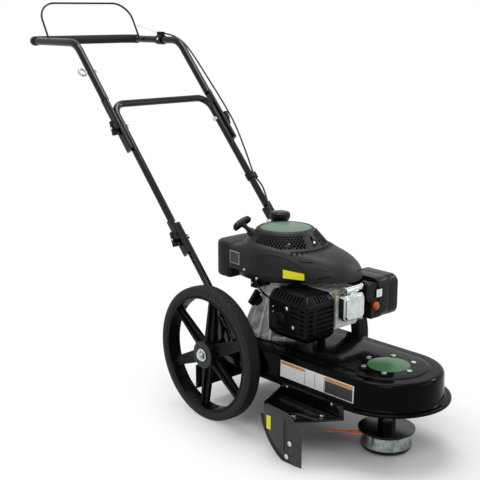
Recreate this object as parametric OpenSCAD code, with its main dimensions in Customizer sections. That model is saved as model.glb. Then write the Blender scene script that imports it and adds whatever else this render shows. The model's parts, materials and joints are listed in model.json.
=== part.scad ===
// Wheeled string trimmer: a walk-behind trimmer with a petrol engine on a long deck.
// Frame: +Z up, -Y forward, +X to the machine's left, origin on the ground under the trimmer head.

/* [Wheels] */
// Wheel diameter over the tread
wheel_d = 356; // [340:1:372]
// Tyre width
tyre_w = 43; // [38:1:46]
// Distance between the tyre centre planes
track = 405; // [402:1:420]
// Axle distance behind the trimmer head
axle_y = 432; // [428:1:440]
// Axle diameter
axle_d = 16; // [12:1:18]
// Radial thickness of the tyre
tyre_t = 24; // [20:1:28]
// Thickness of the rim barrel
barrel_t = 7; // [5:1:9]
// Hub diameter
hub_d = 72; // [60:1:80]
// Hub length
hub_w = 42; // [38:1:44]
// Number of spokes
spokes = 6; // [5:1:8]
// Spoke width at the hub
spoke_hub_w = 36; // [30:1:40]
// Spoke width at the barrel
spoke_rim_w = 24; // [18:1:30]
// Spoke thickness
spoke_t = 10; // [8:1:14]

/* [Deck] */
// Distance from the masts to the top edge of the deck
deck_room = 31; // [29:1:33]
// Height of the deck top above the ground
deck_top = 212; // [208:1:220]
// Height of the deck wall
deck_h = 66; // [60:1:70]
// Sheet thickness of the deck
deck_t = 3; // [2:0.5:4]
// Width of the rolled rim
rim_w = 17; // [14:1:20]
// Depth of the rim lip
lip_h = 8; // [6:1:10]
// Width of the deck top outside its raised panel
panel_room = 38; // [34:1:42]
// Height of the raised panel
panel_h = 2; // [1:0.5:3]
// Radius of the spindle bolt circle
spindle_pcr = 63; // [58:1:66]
// Diameter of the deck bolts
bolt_d = 8; // [6:1:8]

/* [Drive] */
// Engine shaft distance behind the trimmer head
crank_y = 360; // [356:1:363]
// Engine shaft diameter
crank_d = 25; // [22:1:28]
// Spindle diameter
spindle_d = 20; // [16:1:22]
// Bearing outside diameter
bearing_d = 42; // [38:1:46]
// Bearing width
bearing_w = 12; // [10:1:14]
// Belt thickness
belt_t = 8; // [6:1:10]
// Belt width
belt_w = 10; // [8:1:12]
// Inner belt radius on the engine pulley
drive_r = 36; // [32:1:38]
// Inner belt radius on the spindle pulley
driven_r = 44; // [40:1:48]
// Height of the belt's middle plane
belt_z = 152; // [150:1:154]

/* [Trimmer head] */
// Radius of the upper head plate
plate_r = 70; // [66:1:74]
// Thickness of the upper head plate
plate_t = 4; // [3:0.5:5]
// Radius of the line drum at its skirt
drum_r = 63; // [60:1:66]
// Height of the line drum
drum_h = 32; // [28:1:34]
// Sheet thickness of the line drum
drum_t = 2; // [1.5:0.5:3]
// Thickness of the glide disc
glide_h = 14; // [10:1:16]
// Trimmer line diameter
line_d = 4; // [3:0.5:4]

/* [Handle] */
// Slope of the handle
leg_a = 47.8; // [47:0.1:49]
// Height of the mast tops
mast_top_z = 487; // [482:1:492]
// Distance of the mast tops behind the trimmer head
mast_top_y = 612; // [606:1:616]
// Mast length
mast_len = 358; // [350:1:362]
// Mast tube diameter
mast_d = 20; // [18:1:21]
// Room between the masts and the tyres
mast_room = 8; // [7:0.5:8.5]
// Lower handle tube diameter
lower_d = 20; // [18:1:20]
// Upper handle tube diameter
upper_d = 22; // [20:1:22]
// Tube wall thickness
tube_t = 2; // [1.5:0.5:2.5]
// Distance of the lower handle crossbar above the mast tops, along the slope
lower_bar_t = 406; // [400:1:412]
// Distance of the upper handle pivot above the mast tops, along the slope
upper_pivot_t = 326; // [320:1:330]
// Distance of the lower handle pivot below the mast tops, along the slope
lower_pivot_t = 44; // [40:1:50]
// Distance of the handle bend above the mast tops, along the slope
bend_t = 631; // [626:1:636]
// Length of the level top of the handle, behind the bend
top_len = 259; // [250:1:266]
// Outside diameter of the foam grip
grip_d = 28; // [26:1:30]
// Rod diameter of the bail
bail_d = 6; // [5:0.5:6]
// Length of the bail legs
bail_len = 130; // [124:1:134]
// Bail lean from level when released
bail_a = 60; // [58:1:62]

/* [Engine] */
// Radius of the crankcase
case_r = 76; // [72:1:77]
// Height of the blower plate above the deck panel
case_h = 164; // [160:1:166]
// Height of the cylinder axis above the deck panel
cyl_h = 104; // [100:1:106]
// Sideways offset of the cylinder
cyl_x = 12; // [8:1:14]
// Cylinder bore
bore_d = 64; // [60:1:66]
// Width of the cylinder fins
fin_w = 100; // [96:1:104]
// Front face of the valve cover, behind the trimmer head
valve_y = 121; // [118:1:124]
// Radius of the flywheel
flywheel_r = 85; // [80:1:86]
// Wall of the plastic covers
cover_t = 3; // [2:0.5:4]
// Diameter of the primer bulb
primer_d = 22; // [18:1:24]
// Diameter of the fuel cap
cap_d = 58; // [52:1:60]
// Starter rope diameter
rope_d = 4.4; // [3.6:0.2:5]

/* [Guard] */
// Distance of the debris shield from the trimmer head
shield_x = 250; // [246:1:256]
// Sheet thickness of the guard pieces
guard_t = 3; // [2:0.5:4]

/* [Clearances] */
// Gap between pieces that don't touch
gap = 0.3; // [0.2:0.05:0.4]
// Radial running clearance of shafts and pins
run = 0.05; // [0.02:0.01:0.08]

/* [Hidden] */
$fn = 48;
wheel_r = wheel_d / 2;
mast_x = track / 2 - tyre_w / 2 - mast_room - mast_d / 2;
deck_hw = mast_x - deck_room;
panel_hw = deck_hw - panel_room;
rim_r = wheel_r - tyre_t;
bolt_r = bolt_d / 2;
hole_r = bolt_r + gap / 2;
head_w = bolt_d * 1.75;
head_h = 5;
panel_z = deck_top + panel_h;
rim_z = deck_top - deck_h;
lip_z = rim_z - lip_h;
wall_r = deck_hw + 3;
rim_out = wall_r + rim_w;
case_z = panel_z + 12;
plate_z = panel_z + case_h;
cyl_z = panel_z + cyl_h;
deck_back_y = crank_y + 10;
head_face_y = crank_y - 154;
valve_back_y = head_face_y - 56;
bracket_t = 5;
bracket_x = mast_x - mast_d / 2 - gap - bracket_t;
lower_x = mast_x + mast_d / 2 + gap + 1 - lower_d / 2 + 9.7;
upper_x = lower_x + lower_d / 2 + gap + 3.7;
lower_paddle_x0 = mast_x + mast_d / 2 + gap;
lower_paddle_x1 = lower_x + lower_d / 2;
upper_paddle_x0 = lower_x + lower_d / 2 + gap;
upper_paddle_x1 = upper_paddle_x0 + 11.6;
knob_len = 15;
leg_end_t = 249;
lower_end_t = -94;
top_z = mast_top_z + bend_t * sin(leg_a);
bend_y = mast_top_y + bend_t * cos(leg_a);
grip_y = bend_y + top_len;
grip_bend = 40;
bail_y = grip_y - 82;
bail_x = upper_x - upper_d / 2 - gap - bail_d / 2 - 6;
clip_y = bend_y + 77;
clip_len = 28;
ear_z = top_z + upper_d / 2 + 9;
clamp_t = 113;
clamp_len = 20;
clamp_ear_x = lower_x + lower_d / 2 + 8;
bearing_low_z = belt_z + belt_w / 2 + 12;
bearing_top_z = panel_z - deck_t - gap - bearing_w - 3;
line_gap = line_d + 2 * gap;
drum_top = glide_h + drum_h;
head_plate_z = drum_top + line_gap;
shroud_z = plate_z + 12;
shroud_r = 126;
shroud_top_r = 114;
shroud_h = 62;
nose_x = 30;
nose_y = crank_y - 138;
nose_r = 80;
nose_h = 39;
recoil_z = shroud_z + shroud_h;
recoil_top = recoil_z + 45;
recoil_r = 112;
recoil_neck_r = 76;
tank_x = 72;
tank_y = crank_y + 128;
tank_r = 32;
tank_h = 90;
cap_x = 84;
cap_y = crank_y + 108;
neck_top = shroud_z + 108;
rope_exit = [-72, crank_y + 55, recoil_top - 13];
rope_dir = [-0.195, 0.806, 0.559] / norm([-0.195, 0.806, 0.559]);
bar_dir = [0.944, 0, 0.33] / norm([0.944, 0, 0.33]);
grip_off = 36;
stick_base = [-case_r + 6, crank_y + 8, panel_z + 80];
stick_dir = [-0.75, 0, 0.66] / norm([-0.75, 0, 0.66]);
stick_boss = 26;
guard_x0 = -132;
guard_x1 = cyl_x - fin_w / 2 - 6;
guard_y0 = 148;
guard_y1 = 276;
guard_z0 = panel_z + 34;
guard_z1 = plate_z - 2;
air_x0 = cyl_x + fin_w / 2 + 38;
air_split = air_x0 + 40;
air_x1 = air_x0 + 83;
air_y0 = 122;
air_y1 = 242;
air_z0 = panel_z + 64;
air_z1 = panel_z + 170;
primer_x = air_x0 - 9;
primer_z = panel_z + 102;
primer_reach = 9;
shelf_z = lip_z - 26;
mast_bolt_t = [-330, -282];
shelf_bolt = [[-178, 50], [-232, 92]];
shield_bolt = [[78, 60], [88, 24]];
lip_bolt_y = [40, 190];
shield_arc_c = [52, 128];
shield_arc_r = 120;
eye_t = 524;
swell = 0.15;
spoke_turn = 7;
brake_x = 108;
brake_y = crank_y + 50;
brake_end = [126, crank_y + 84, plate_z + 6];

// Hand-chosen route of the control cable beside the left leg, from its clip to its clamp
cable_upper_path = [[0, 1090, 977], [3, 1062, 977], [10, 1030, 969], [18, 1000, 944], [27, 968, 898],
    [34, 930, 850], [38, 890, 802], [40, 850, 754], [38, 820, 718], [32, 790, 684], [24, 760, 651],
    [15, 730, 618], [8, 710, 596]];
cable_upper_route = [for (p = cable_upper_path) [upper_x + p[0], p[1], p[2]]];
// Hand-chosen route of the control cable from its clamp over the handle to the engine brake
cable_lower_top = [[17, 666, 554], [7, 640, 542], [-9, 612, 526], [-24, 580, 497]];
cable_lower_end = [[12, 96, 78], [5, 66, 44], [2, 41, 20], [0, 21, 6]];
cable_lower_route = concat([for (p = cable_lower_top) [lower_x + p[0], p[1], p[2]]],
    [for (p = cable_lower_end) brake_end + p]);
// Hand-chosen route of the trimmer line, doubled over its post: both ends trail to the right rear
line_route = [[-132, 86], [-118, 78], [-105, 69], [-92, 59], [-78, 49], [-64, 39], [-50, 30], [-37, 23],
    [-26, 20], [-19, 14], [-19, 6], [-26, 1], [-36, 2], [-48, 8], [-60, 16], [-72, 26], [-82, 37], [-90, 49]];

// Vector and placing helpers
function unit(v) = v / norm(v);
function side_of(z) = abs(z[2]) < 0.9 ? unit(cross([0, 0, 1], z)) : unit(cross([0, 1, 0], z));
function frame_of(p, x, y, z) = [[x[0], y[0], z[0], p[0]], [x[1], y[1], z[1], p[1]], [x[2], y[2], z[2], p[2]],
    [0, 0, 0, 1]];
function leg(t) = [mast_top_y + t * cos(leg_a), mast_top_z + t * sin(leg_a)];
function leg_at(x, t) = [x, leg(t)[0], leg(t)[1]];

module along(p, d) {
    z = unit(d);
    x = side_of(z);
    multmatrix(frame_of(p, x, cross(z, x), z)) children();
}

module on_leg(x, t) {
    z = [0, cos(leg_a), sin(leg_a)];
    multmatrix(frame_of(leg_at(x, t), [1, 0, 0], cross(z, [1, 0, 0]), z)) children();
}

module pair() {
    children();
    mirror([1, 0, 0]) children();
}

// An outline in the Y-Z plane, given a thickness along X
module yz(x0, h) {
    translate([x0, 0, 0]) rotate([90, 0, 90]) linear_extrude(h) children();
}

// A rod or hole along X
module x_rod(x0, x1, y, z, r) {
    translate([x0, y, z]) rotate([0, 90, 0]) cylinder(r = r, h = x1 - x0);
}

module x_hex(x0, x1, y, z, w) {
    translate([x0, y, z]) rotate([0, 90, 0]) cylinder(d = w, h = x1 - x0, $fn = 6);
}

module rounded(w, h, r) {
    translate([r, 0]) square([w - 2 * r, h]);
    translate([0, r]) square([w, h - 2 * r]);
    for (x = [r, w - r]) {
        for (y = [r, h - r]) {
            translate([x, y]) circle(r);
        }
    }
}

module ring(r, t) {
    difference() {
        circle(r);
        if (t > 0) {
            circle(r - t);
        }
    }
}

// A tube or rod through corner points, with a bend of its own radius at each inner corner.
// The bends are a hair thicker, so the straight ends run into them.
function corner_angle(p, i) = acos(unit(p[i - 1] - p[i]) * unit(p[i + 1] - p[i]));
function trim_len(p, rb, i) = (i == 0 || i == len(p) - 1) ? 0 : rb[i] / tan(corner_angle(p, i) / 2);

module pipe(p, rb, r, t) {
    for (i = [0 : len(p) - 2]) {
        d = unit(p[i + 1] - p[i]);
        a = p[i] + d * (trim_len(p, rb, i) - (i > 0 ? 0.5 : 0));
        b = p[i + 1] - d * (trim_len(p, rb, i + 1) - (i < len(p) - 2 ? 0.5 : 0));
        along(a, d) linear_extrude(norm(b - a)) ring(r, t);
    }
    for (i = [1 : 1 : len(p) - 2]) {
        u = unit(p[i - 1] - p[i]);
        w = unit(p[i + 1] - p[i]);
        phi = corner_angle(p, i);
        c = p[i] + unit(u + w) * rb[i] / sin(phi / 2);
        x = unit(p[i] + u * trim_len(p, rb, i) - c);
        n = unit(cross(x, p[i] + w * trim_len(p, rb, i) - c));
        multmatrix(frame_of(c, x, cross(n, x), n))
            rotate_extrude(angle = 180 - phi) translate([rb[i], 0]) ring(r + swell, t > 0 ? t + 2 * swell : 0);
    }
}

// A flexible tube swept along a smooth run of points
function run_dir(p, i) = unit(p[min(i + 1, len(p) - 1)] - p[max(i - 1, 0)]);
function run_ring(p, i, r, n) = let (z = run_dir(p, i), x = side_of(z), y = cross(z, x))
    [for (k = [0 : n - 1]) p[i] + r * (x * cos(k * 360 / n) + y * sin(k * 360 / n))];

module cable(p, r, n = 8) {
    m = len(p);
    points = [for (i = [0 : m - 1]) each run_ring(p, i, r, n)];
    walls = [for (i = [0 : m - 2]) for (k = [0 : n - 1]) for (h = [0, 1])
        let (a = i * n + k, b = i * n + (k + 1) % n) h == 0 ? [a, b + n, b] : [a, a + n, b + n]];
    ends = [for (k = [1 : n - 2]) each [[0, k, k + 1], [(m - 1) * n, (m - 1) * n + k + 1, (m - 1) * n + k]]];
    polyhedron(points, concat(walls, ends));
}

// Deck and spindle
function deck_section() = [[0, panel_z], [panel_hw, panel_z], [panel_hw + 3, deck_top], [deck_hw - 8, deck_top],
    [deck_hw, deck_top - 8], [wall_r, rim_z], [rim_out, rim_z], [rim_out, lip_z], [rim_out - deck_t, lip_z],
    [rim_out - deck_t, rim_z - deck_t], [wall_r - deck_t, rim_z - deck_t], [deck_hw - deck_t, deck_top - 9],
    [deck_hw - 9, deck_top - deck_t], [panel_hw + 2, deck_top - deck_t], [panel_hw - 1, panel_z - deck_t],
    [0, panel_z - deck_t]];

module deck_end() {
    rotate_extrude(angle = 180) polygon(deck_section());
}

module spindle_ring() {
    for (a = [30 : 60 : 330]) {
        rotate(a) translate([spindle_pcr, 0]) children();
    }
}

module engine_ring() {
    translate([0, crank_y]) for (a = [45 : 90 : 315]) {
        rotate(a) translate([case_r + 9, 0]) children();
    }
}

module deck_shell() {
    color("#141414") difference() {
        union() {
            rotate(180) deck_end();
            translate([0, deck_back_y, 0]) deck_end();
            pair() translate([0, deck_back_y, 0]) rotate([90, 0, 0]) linear_extrude(deck_back_y) polygon(deck_section());
        }
        spindle_ring() translate([0, 0, deck_top - 10]) cylinder(r = hole_r, h = 20);
        engine_ring() translate([0, 0, deck_top - 10]) cylinder(r = hole_r, h = 20);
        translate([0, crank_y, deck_top - 10]) cylinder(r = 45, h = 20);
        x_rod(-200, 200, axle_y, wheel_r, axle_d / 2 + gap);
        pair() for (y = [310, 345]) {
            translate([wall_r + 7, y, rim_z - 10]) cylinder(r = 3 + gap / 2, h = 20);
        }
        for (y = lip_bolt_y) {
            x_rod(-rim_out - 20, -rim_out + 20, y, rim_z - 4, 2 + gap / 2);
        }
    }
}

module spindle_housing() {
    color("#2b2b2b") difference() {
        union() {
            translate([0, 0, panel_z - deck_t - 8]) cylinder(r = spindle_pcr + 12, h = 8);
            translate([0, 0, bearing_low_z - 1]) cylinder(d = bearing_d + 16, h = panel_z - deck_t - bearing_low_z - 4);
        }
        translate([0, 0, bearing_low_z]) cylinder(d = bearing_d + 2 * run, h = bearing_w);
        translate([0, 0, bearing_top_z]) cylinder(d = bearing_d + 2 * run, h = 40);
        translate([0, 0, bearing_low_z - 10]) cylinder(d = bearing_d - 6, h = 100);
        spindle_ring() translate([0, 0, deck_top - 20]) cylinder(r = hole_r, h = 40);
    }
}

module spindle_bearings() {
    color("silver") for (z = [bearing_low_z, bearing_top_z]) {
        translate([0, 0, z]) difference() {
            cylinder(d = bearing_d, h = bearing_w);
            translate([0, 0, -1]) cylinder(d = spindle_d + 2 * run, h = bearing_w + 2);
        }
    }
}

module deck_bolts() {
    color("silver") {
        spindle_ring() translate([0, 0, panel_z - deck_t - 8]) cylinder(r = bolt_r, h = 8 + deck_t);
        spindle_ring() translate([0, 0, panel_z]) cylinder(d = head_w, h = head_h, $fn = 6);
        engine_ring() translate([0, 0, panel_z - deck_t - 6]) cylinder(r = bolt_r, h = case_z - panel_z + deck_t + 6);
        engine_ring() translate([0, 0, case_z]) cylinder(d = head_w, h = head_h, $fn = 6);
        engine_ring() translate([0, 0, panel_z - deck_t - 6]) cylinder(d = head_w, h = 6, $fn = 6);
    }
}

// The plan of the belt loop, grown outwards by a thickness
module belt_plan(t) {
    hull($fn = 64) {
        circle(driven_r + t);
        translate([0, crank_y]) circle(drive_r + t);
    }
}

module drive_belt() {
    color("#202020") translate([0, 0, belt_z - belt_w / 2]) linear_extrude(belt_w) difference() {
        belt_plan(belt_t);
        belt_plan(0);
    }
}

module pulley(r, shaft_d) {
    edge = belt_w / 2 + gap;
    translate([0, 0, belt_z]) difference() {
        rotate_extrude() polygon([[0, -edge - 5], [r + belt_t, -edge - 5], [r + belt_t, -edge], [r - gap, -edge],
            [r - gap, edge], [r + belt_t, edge], [r + belt_t, edge + 5], [0, edge + 5]]);
        translate([0, 0, -50]) cylinder(d = shaft_d + 2 * run, h = 100);
    }
}

module drive_pulley() {
    color("dimgray") translate([0, crank_y, 0]) pulley(drive_r, crank_d);
}

module driven_pulley() {
    color("dimgray") pulley(driven_r, spindle_d);
}

module spindle_shaft() {
    color("silver") {
        translate([0, 0, glide_h + 6]) cylinder(d = spindle_d, h = bearing_top_z + bearing_w - glide_h - 6);
        translate([0, 0, bearing_low_z + bearing_w + gap])
            cylinder(d = spindle_d + 8, h = bearing_top_z - bearing_low_z - bearing_w - 2 * gap);
        translate([0, 0, head_plate_z + plate_t + 24 + gap]) cylinder(d = spindle_d + 8,
            h = belt_z - belt_w / 2 - 5 - 2 * gap - head_plate_z - plate_t - 24 - gap);
    }
}

// Trimmer head
module head_plate() {
    color("#1a1a1a") difference() {
        union() {
            translate([0, 0, head_plate_z]) cylinder(r = plate_r, h = plate_t);
            translate([0, 0, head_plate_z]) cylinder(r = 22, h = plate_t + 24);
            rotate(158.7) translate([29, 0, drum_top + gap]) cylinder(r = 3, h = line_gap);
        }
        translate([0, 0, head_plate_z - 10]) cylinder(d = spindle_d + 2 * run, h = 60);
    }
}

module line_drum() {
    color("#c3c9c8") difference() {
        rotate_extrude() polygon([[0, drum_top], [drum_r - 9, drum_top], [drum_r - 5, drum_top - 3],
            [drum_r, glide_h], [drum_r - drum_t, glide_h], [drum_r - 5 - drum_t, drum_top - 4],
            [drum_r - 10, drum_top - drum_t], [0, drum_top - drum_t]]);
        translate([0, 0, glide_h]) cylinder(d = spindle_d + 2 * run, h = drum_h + 10);
    }
}

module glide_disc() {
    color("#161616") difference() {
        rotate_extrude() polygon([[0, 0], [drum_r - 17, 0], [drum_r - 6, 4], [drum_r - 2, glide_h * 0.6],
            [drum_r - 2, glide_h], [25, glide_h], [25, drum_top - drum_t], [0, drum_top - drum_t]]);
        translate([0, 0, glide_h + 6 - gap]) cylinder(d = spindle_d + 2 * run, h = drum_h);
    }
}

module trimmer_line() {
    z = drum_top + line_gap / 2;
    color("#d8591a") cable([for (p = line_route) [p[0], p[1], z + max(0, norm(p) - plate_r - 6) * 0.06]], line_d / 2);
}

// Running gear
module axle() {
    sleeve_in = bracket_x + bracket_t + gap;
    sleeve_out = track / 2 + tyre_w / 2 - hub_w - gap + 2;
    color("silver") {
        x_rod(-track / 2 - 36, track / 2 + 36, axle_y, wheel_r, axle_d / 2);
        pair() x_rod(sleeve_in, sleeve_out, axle_y, wheel_r, axle_d / 2 + 5);
    }
}

module bracket_plan() {
    polygon([[296, rim_z], [axle_y + 38, rim_z], [axle_y + 42, wheel_r + 12], [axle_y + 20, 300], [axle_y - 20, 306],
        [axle_y - 70, 236], [296, rim_z + 14]]);
}

module axle_brackets() {
    color("#1c1c1c") difference() {
        pair() {
            yz(bracket_x, bracket_t) bracket_plan();
            translate([wall_r + 1.5, 296, rim_z]) cube([bracket_x - wall_r - 1, 70, 4]);
        }
        x_rod(-200, 200, axle_y, wheel_r, axle_d / 2 + run);
        for (t = mast_bolt_t) {
            x_rod(-200, 200, leg(t)[0], leg(t)[1], hole_r);
        }
        pair() for (y = [310, 345]) {
            translate([wall_r + 7, y, rim_z - 10]) cylinder(r = 3 + gap / 2, h = 20);
        }
    }
}

module masts() {
    color("#161616") difference() {
        pair() pipe([leg_at(mast_x, -mast_len), leg_at(mast_x, 0)], [0, 0], mast_d / 2, tube_t);
        for (t = mast_bolt_t) {
            x_rod(-200, 200, leg(t)[0], leg(t)[1], hole_r);
        }
        x_rod(-200, 200, leg(-lower_pivot_t)[0], leg(-lower_pivot_t)[1], bolt_r + run);
        for (t = [-106, -122]) {
            pair() x_rod(mast_x, mast_x + mast_d, leg(t)[0], leg(t)[1], bolt_r);
        }
    }
}

module frame_bolts() {
    nut_x = track / 2 + tyre_w / 2 + 2 + gap;
    color("silver") {
        pair() for (y = [310, 345]) {
            translate([wall_r + 7, y, rim_z - deck_t - 3]) cylinder(r = 3, h = 7 + deck_t);
            translate([wall_r + 7, y, rim_z + 4]) cylinder(r = 5, h = 4, $fn = 6);
        }
        pair() for (t = mast_bolt_t) {
            x_rod(bracket_x - 8, mast_x + mast_d / 2 + gap, leg(t)[0], leg(t)[1], bolt_r);
            x_rod(mast_x + mast_d / 2 + gap, mast_x + mast_d / 2 + 4, leg(t)[0], leg(t)[1], head_w / 2);
            x_hex(bracket_x - 7, bracket_x, leg(t)[0], leg(t)[1], head_w);
        }
        pair() difference() {
            union() {
                x_rod(nut_x, nut_x + 2.5, axle_y, wheel_r, axle_d / 2 + 9);
                x_hex(nut_x + 2.5, nut_x + 9, axle_y, wheel_r, axle_d * 1.7);
            }
            x_rod(nut_x - 10, nut_x + 40, axle_y, wheel_r, axle_d / 2 + run);
        }
        for (p = shelf_bolt) {
            translate([p[0], p[1], shelf_z - 8]) cylinder(r = 4, h = 8 + guard_t);
            translate([p[0], p[1], shelf_z + guard_t]) cylinder(r = 7, h = 4, $fn = 6);
        }
        for (p = shield_bolt) {
            x_rod(-shield_x - guard_t, -shield_x + 10, p[0], p[1], 4);
            x_hex(-shield_x - guard_t - 4, -shield_x - guard_t, p[0], p[1], 14);
        }
        for (y = lip_bolt_y) {
            x_rod(-rim_out - guard_t, -rim_out + 8, y, rim_z - 4, 2);
            x_hex(-rim_out - guard_t - 3, -rim_out - guard_t, y, rim_z - 4, 8);
        }
    }
}

// Right-hand guard
module guard_bracket() {
    color("#1c1c1c") difference() {
        union() {
            translate([-rim_out - guard_t, 4, shelf_z]) cube([guard_t, 212, rim_z - shelf_z]);
            translate([0, 0, shelf_z]) linear_extrude(guard_t) polygon([[-rim_out, 4], [-rim_out, 216],
                [-shield_x, 172], [-shield_x, 72], [-shield_x + 40, 40]]);
            translate([0, 0, shelf_z]) linear_extrude(24) polygon([[-rim_out, 216], [-shield_x, 172],
                [-shield_x, 169], [-rim_out, 213]]);
        }
        for (p = shelf_bolt) {
            translate([p[0], p[1], shelf_z - 10]) cylinder(r = 4 + gap / 2, h = 20);
        }
        for (y = lip_bolt_y) {
            x_rod(-rim_out - 20, -rim_out + 20, y, rim_z - 4, 2 + gap / 2);
        }
    }
}

module shield_plan() {
    intersection() {
        polygon([[44, 8], [180, 8], [180, 122], [160, 134], [90, 130], [50, 100], [44, 90]]);
        translate(shield_arc_c) circle(shield_arc_r);
    }
}

module debris_shield() {
    color("#333335") difference() {
        union() {
            yz(-shield_x - guard_t, guard_t) shield_plan();
            translate([-shield_x - guard_t - 3, 98, 40]) cube([3, 6, 72]);
        }
        for (p = shield_bolt) {
            x_rod(-shield_x - 30, -shield_x + 30, p[0], p[1], 4 + gap / 2);
        }
    }
}

module rubber_flap() {
    color("#0e0e0e") difference() {
        yz(-shield_x, 5) intersection() {
            difference() {
                translate(shield_arc_c) circle(shield_arc_r + 16);
                translate(shield_arc_c) circle(shield_arc_r - 34);
            }
            translate([60, 5]) square([140, 96]);
        }
        for (p = shield_bolt) {
            x_rod(-shield_x - 30, -shield_x + 30, p[0], p[1], 4 + gap / 2);
        }
    }
}

// Engine
module crankcase() {
    color("#8d9092") difference() {
        union() {
            translate([0, crank_y, panel_z]) cylinder(r = case_r + 20, h = case_z - panel_z);
            translate([0, crank_y, panel_z - deck_t - 5]) cylinder(r = 40, h = 20);
            translate([0, crank_y, case_z]) cylinder(r = case_r, h = plate_z - case_z);
            intersection() {
                translate([0, crank_y, plate_z]) cylinder(r = 124, h = 8);
                translate([-150, crank_y - 150, plate_z]) cube([300, 224, 8]);
            }
            translate([cyl_x, crank_y, cyl_z]) rotate([90, 0, 0]) cylinder(d = bore_d + 24, h = crank_y - head_face_y);
            for (y = [head_face_y + 6 : 10 : head_face_y + 66]) {
                translate([cyl_x - fin_w / 2, y, cyl_z - fin_w / 2]) cube([fin_w, 3, fin_w - 2]);
            }
            along(stick_base, stick_dir) cylinder(r = 15, h = stick_boss);
            translate([-30, crank_y + 60, shroud_z - 42]) cube([60, 40, 6]);
            translate([80, crank_y + 60, plate_z]) cube([brake_end[0] - 74, 14, 4]);
            translate([brake_end[0] - 6, crank_y + 71, plate_z]) cube([12, 4, 14]);
        }
        translate([0, crank_y, panel_z - 40]) cylinder(d = crank_d + 2 * run, h = 400);
        translate([0, crank_y, case_z + 14]) cylinder(r = case_r - 10, h = plate_z - case_z - 40);
        translate([cyl_x, crank_y, cyl_z]) rotate([90, 0, 0]) cylinder(d = bore_d, h = 400);
        engine_ring() translate([0, 0, panel_z - 10]) cylinder(r = hole_r, h = 40);
        along(stick_base - stick_dir * 40, stick_dir) cylinder(r = 9, h = 80);
        translate([brake_x, brake_y, plate_z - 20]) cylinder(r = 4 + run, h = 60);
    }
}

module cylinder_head() {
    w = fin_w;
    color("#8d9092") {
        translate([cyl_x - w / 2 + 10, valve_back_y, cyl_z - w / 2 + 10])
            cube([w - 20, head_face_y - valve_back_y, w - 20]);
        for (y = [valve_back_y + 12 : 10 : head_face_y - 3]) {
            translate([cyl_x - w / 2, y, cyl_z - w / 2]) cube([w, 3, w - 2]);
        }
    }
}

module valve_cover() {
    color("#b9c2c0") translate([cyl_x, 0, cyl_z + 10]) {
        translate([-36, valve_back_y, -33]) rotate([90, 0, 0])
            linear_extrude(valve_back_y - valve_y - 6) rounded(72, 66, 10);
        translate([-32, valve_y + 6, -29]) rotate([90, 0, 0]) linear_extrude(6) rounded(64, 58, 10);
    }
}

module plug_shield() {
    z = cyl_z + 43 + 9 + gap;
    color("#b4bcba") difference() {
        union() {
            x_rod(cyl_x - 22, cyl_x + 34, valve_y + 18, z, 9);
            translate([cyl_x - 6, valve_y + 12, cyl_z + 43]) cube([24, 12, 6]);
            x_rod(cyl_x + 34, cyl_x + 38, valve_y + 16, z + 5, 6);
        }
        x_rod(cyl_x - 40, cyl_x + 28, valve_y + 18, z, 6.5);
    }
}

module muffler() {
    color("#6a6663") {
        translate([guard_x0 + 10, guard_y0 + 14, guard_z0 + 28]) rotate([90, 0, 90])
            linear_extrude(guard_x1 - guard_x0 - 16) rounded(guard_y1 - guard_y0 - 26, guard_z1 - guard_z0 - 62, 18);
        x_rod(guard_x1 - 8, cyl_x - fin_w / 2, head_face_y - 28, cyl_z, 15);
        x_rod(guard_x0 + cover_t, guard_x0 + 12, guard_y0 + 34, guard_z0 + 82, 5);
        x_rod(guard_x0 + cover_t, guard_x0 + 12, guard_y0 + 104, guard_z0 + 44, 5);
    }
}

// Section of the guard across the machine, grown inwards by a wall
module guard_section(t) {
    x0 = guard_x0 + t;
    z1 = guard_z1 - t;
    polygon([[x0, guard_z0 - (t > 0 ? 1 : 0)], [x0, z1 - 15], [x0 + 22, z1], [guard_x1 + t, z1],
        [guard_x1 + t, guard_z0 - (t > 0 ? 1 : 0)]]);
}

module muffler_guard() {
    len_y = guard_y1 - guard_y0;
    color("#171717") difference() {
        translate([0, guard_y1, 0]) rotate([90, 0, 0]) linear_extrude(len_y) guard_section(0);
        translate([0, guard_y1 + 1, 0]) rotate([90, 0, 0]) linear_extrude(len_y + 1 - cover_t) guard_section(cover_t);
        for (i = [0 : 8]) {
            translate([guard_x0 - 1, guard_y0 + 26 + i * 11, guard_z1 - 14]) cube([24, 5, 20]);
        }
        for (i = [0 : 6]) {
            translate([guard_x0 + 26, guard_y0 - 1, guard_z0 + 30 + i * 11]) cube([48, cover_t + 2, 5]);
        }
        for (i = [0 : 6]) {
            translate([guard_x0 - 1, guard_y0 + 14, guard_z0 + 22 + i * 11]) cube([cover_t + 2, 16, 5]);
        }
        x_rod(guard_x0 - 1, guard_x0 + cover_t + 1, guard_y0 + 76, guard_z0 + 52, 17);
    }
}

// Outer form of the blower shroud, drawn in by a wall
module shroud_form(t) {
    hull($fn = 32) {
        translate([0, crank_y, shroud_z - t * 4]) cylinder(r = shroud_r - t, h = shroud_h - 22 + t * 4);
        translate([0, crank_y, shroud_z]) cylinder(r1 = shroud_r - 6 - t, r2 = shroud_top_r - t, h = shroud_h - t);
        for (x = [-tank_x, tank_x]) {
            translate([x, tank_y, shroud_z + 2 - t * 4]) cylinder(r = tank_r + 6 - t, h = shroud_h - 2 + t * 3);
        }
        translate([nose_x, nose_y, shroud_z - 3 - t * 4])
            cylinder(r1 = nose_r - t, r2 = nose_r - 18 - t, h = nose_h + t * 3);
    }
}

module blower_shroud() {
    color("#2e2e30") difference() {
        shroud_form(0);
        shroud_form(cover_t);
        translate([0, crank_y, shroud_z]) cylinder(r = 98, h = 100);
        translate([cap_x, cap_y, shroud_z]) cylinder(r = 21, h = 100);
    }
}

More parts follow.
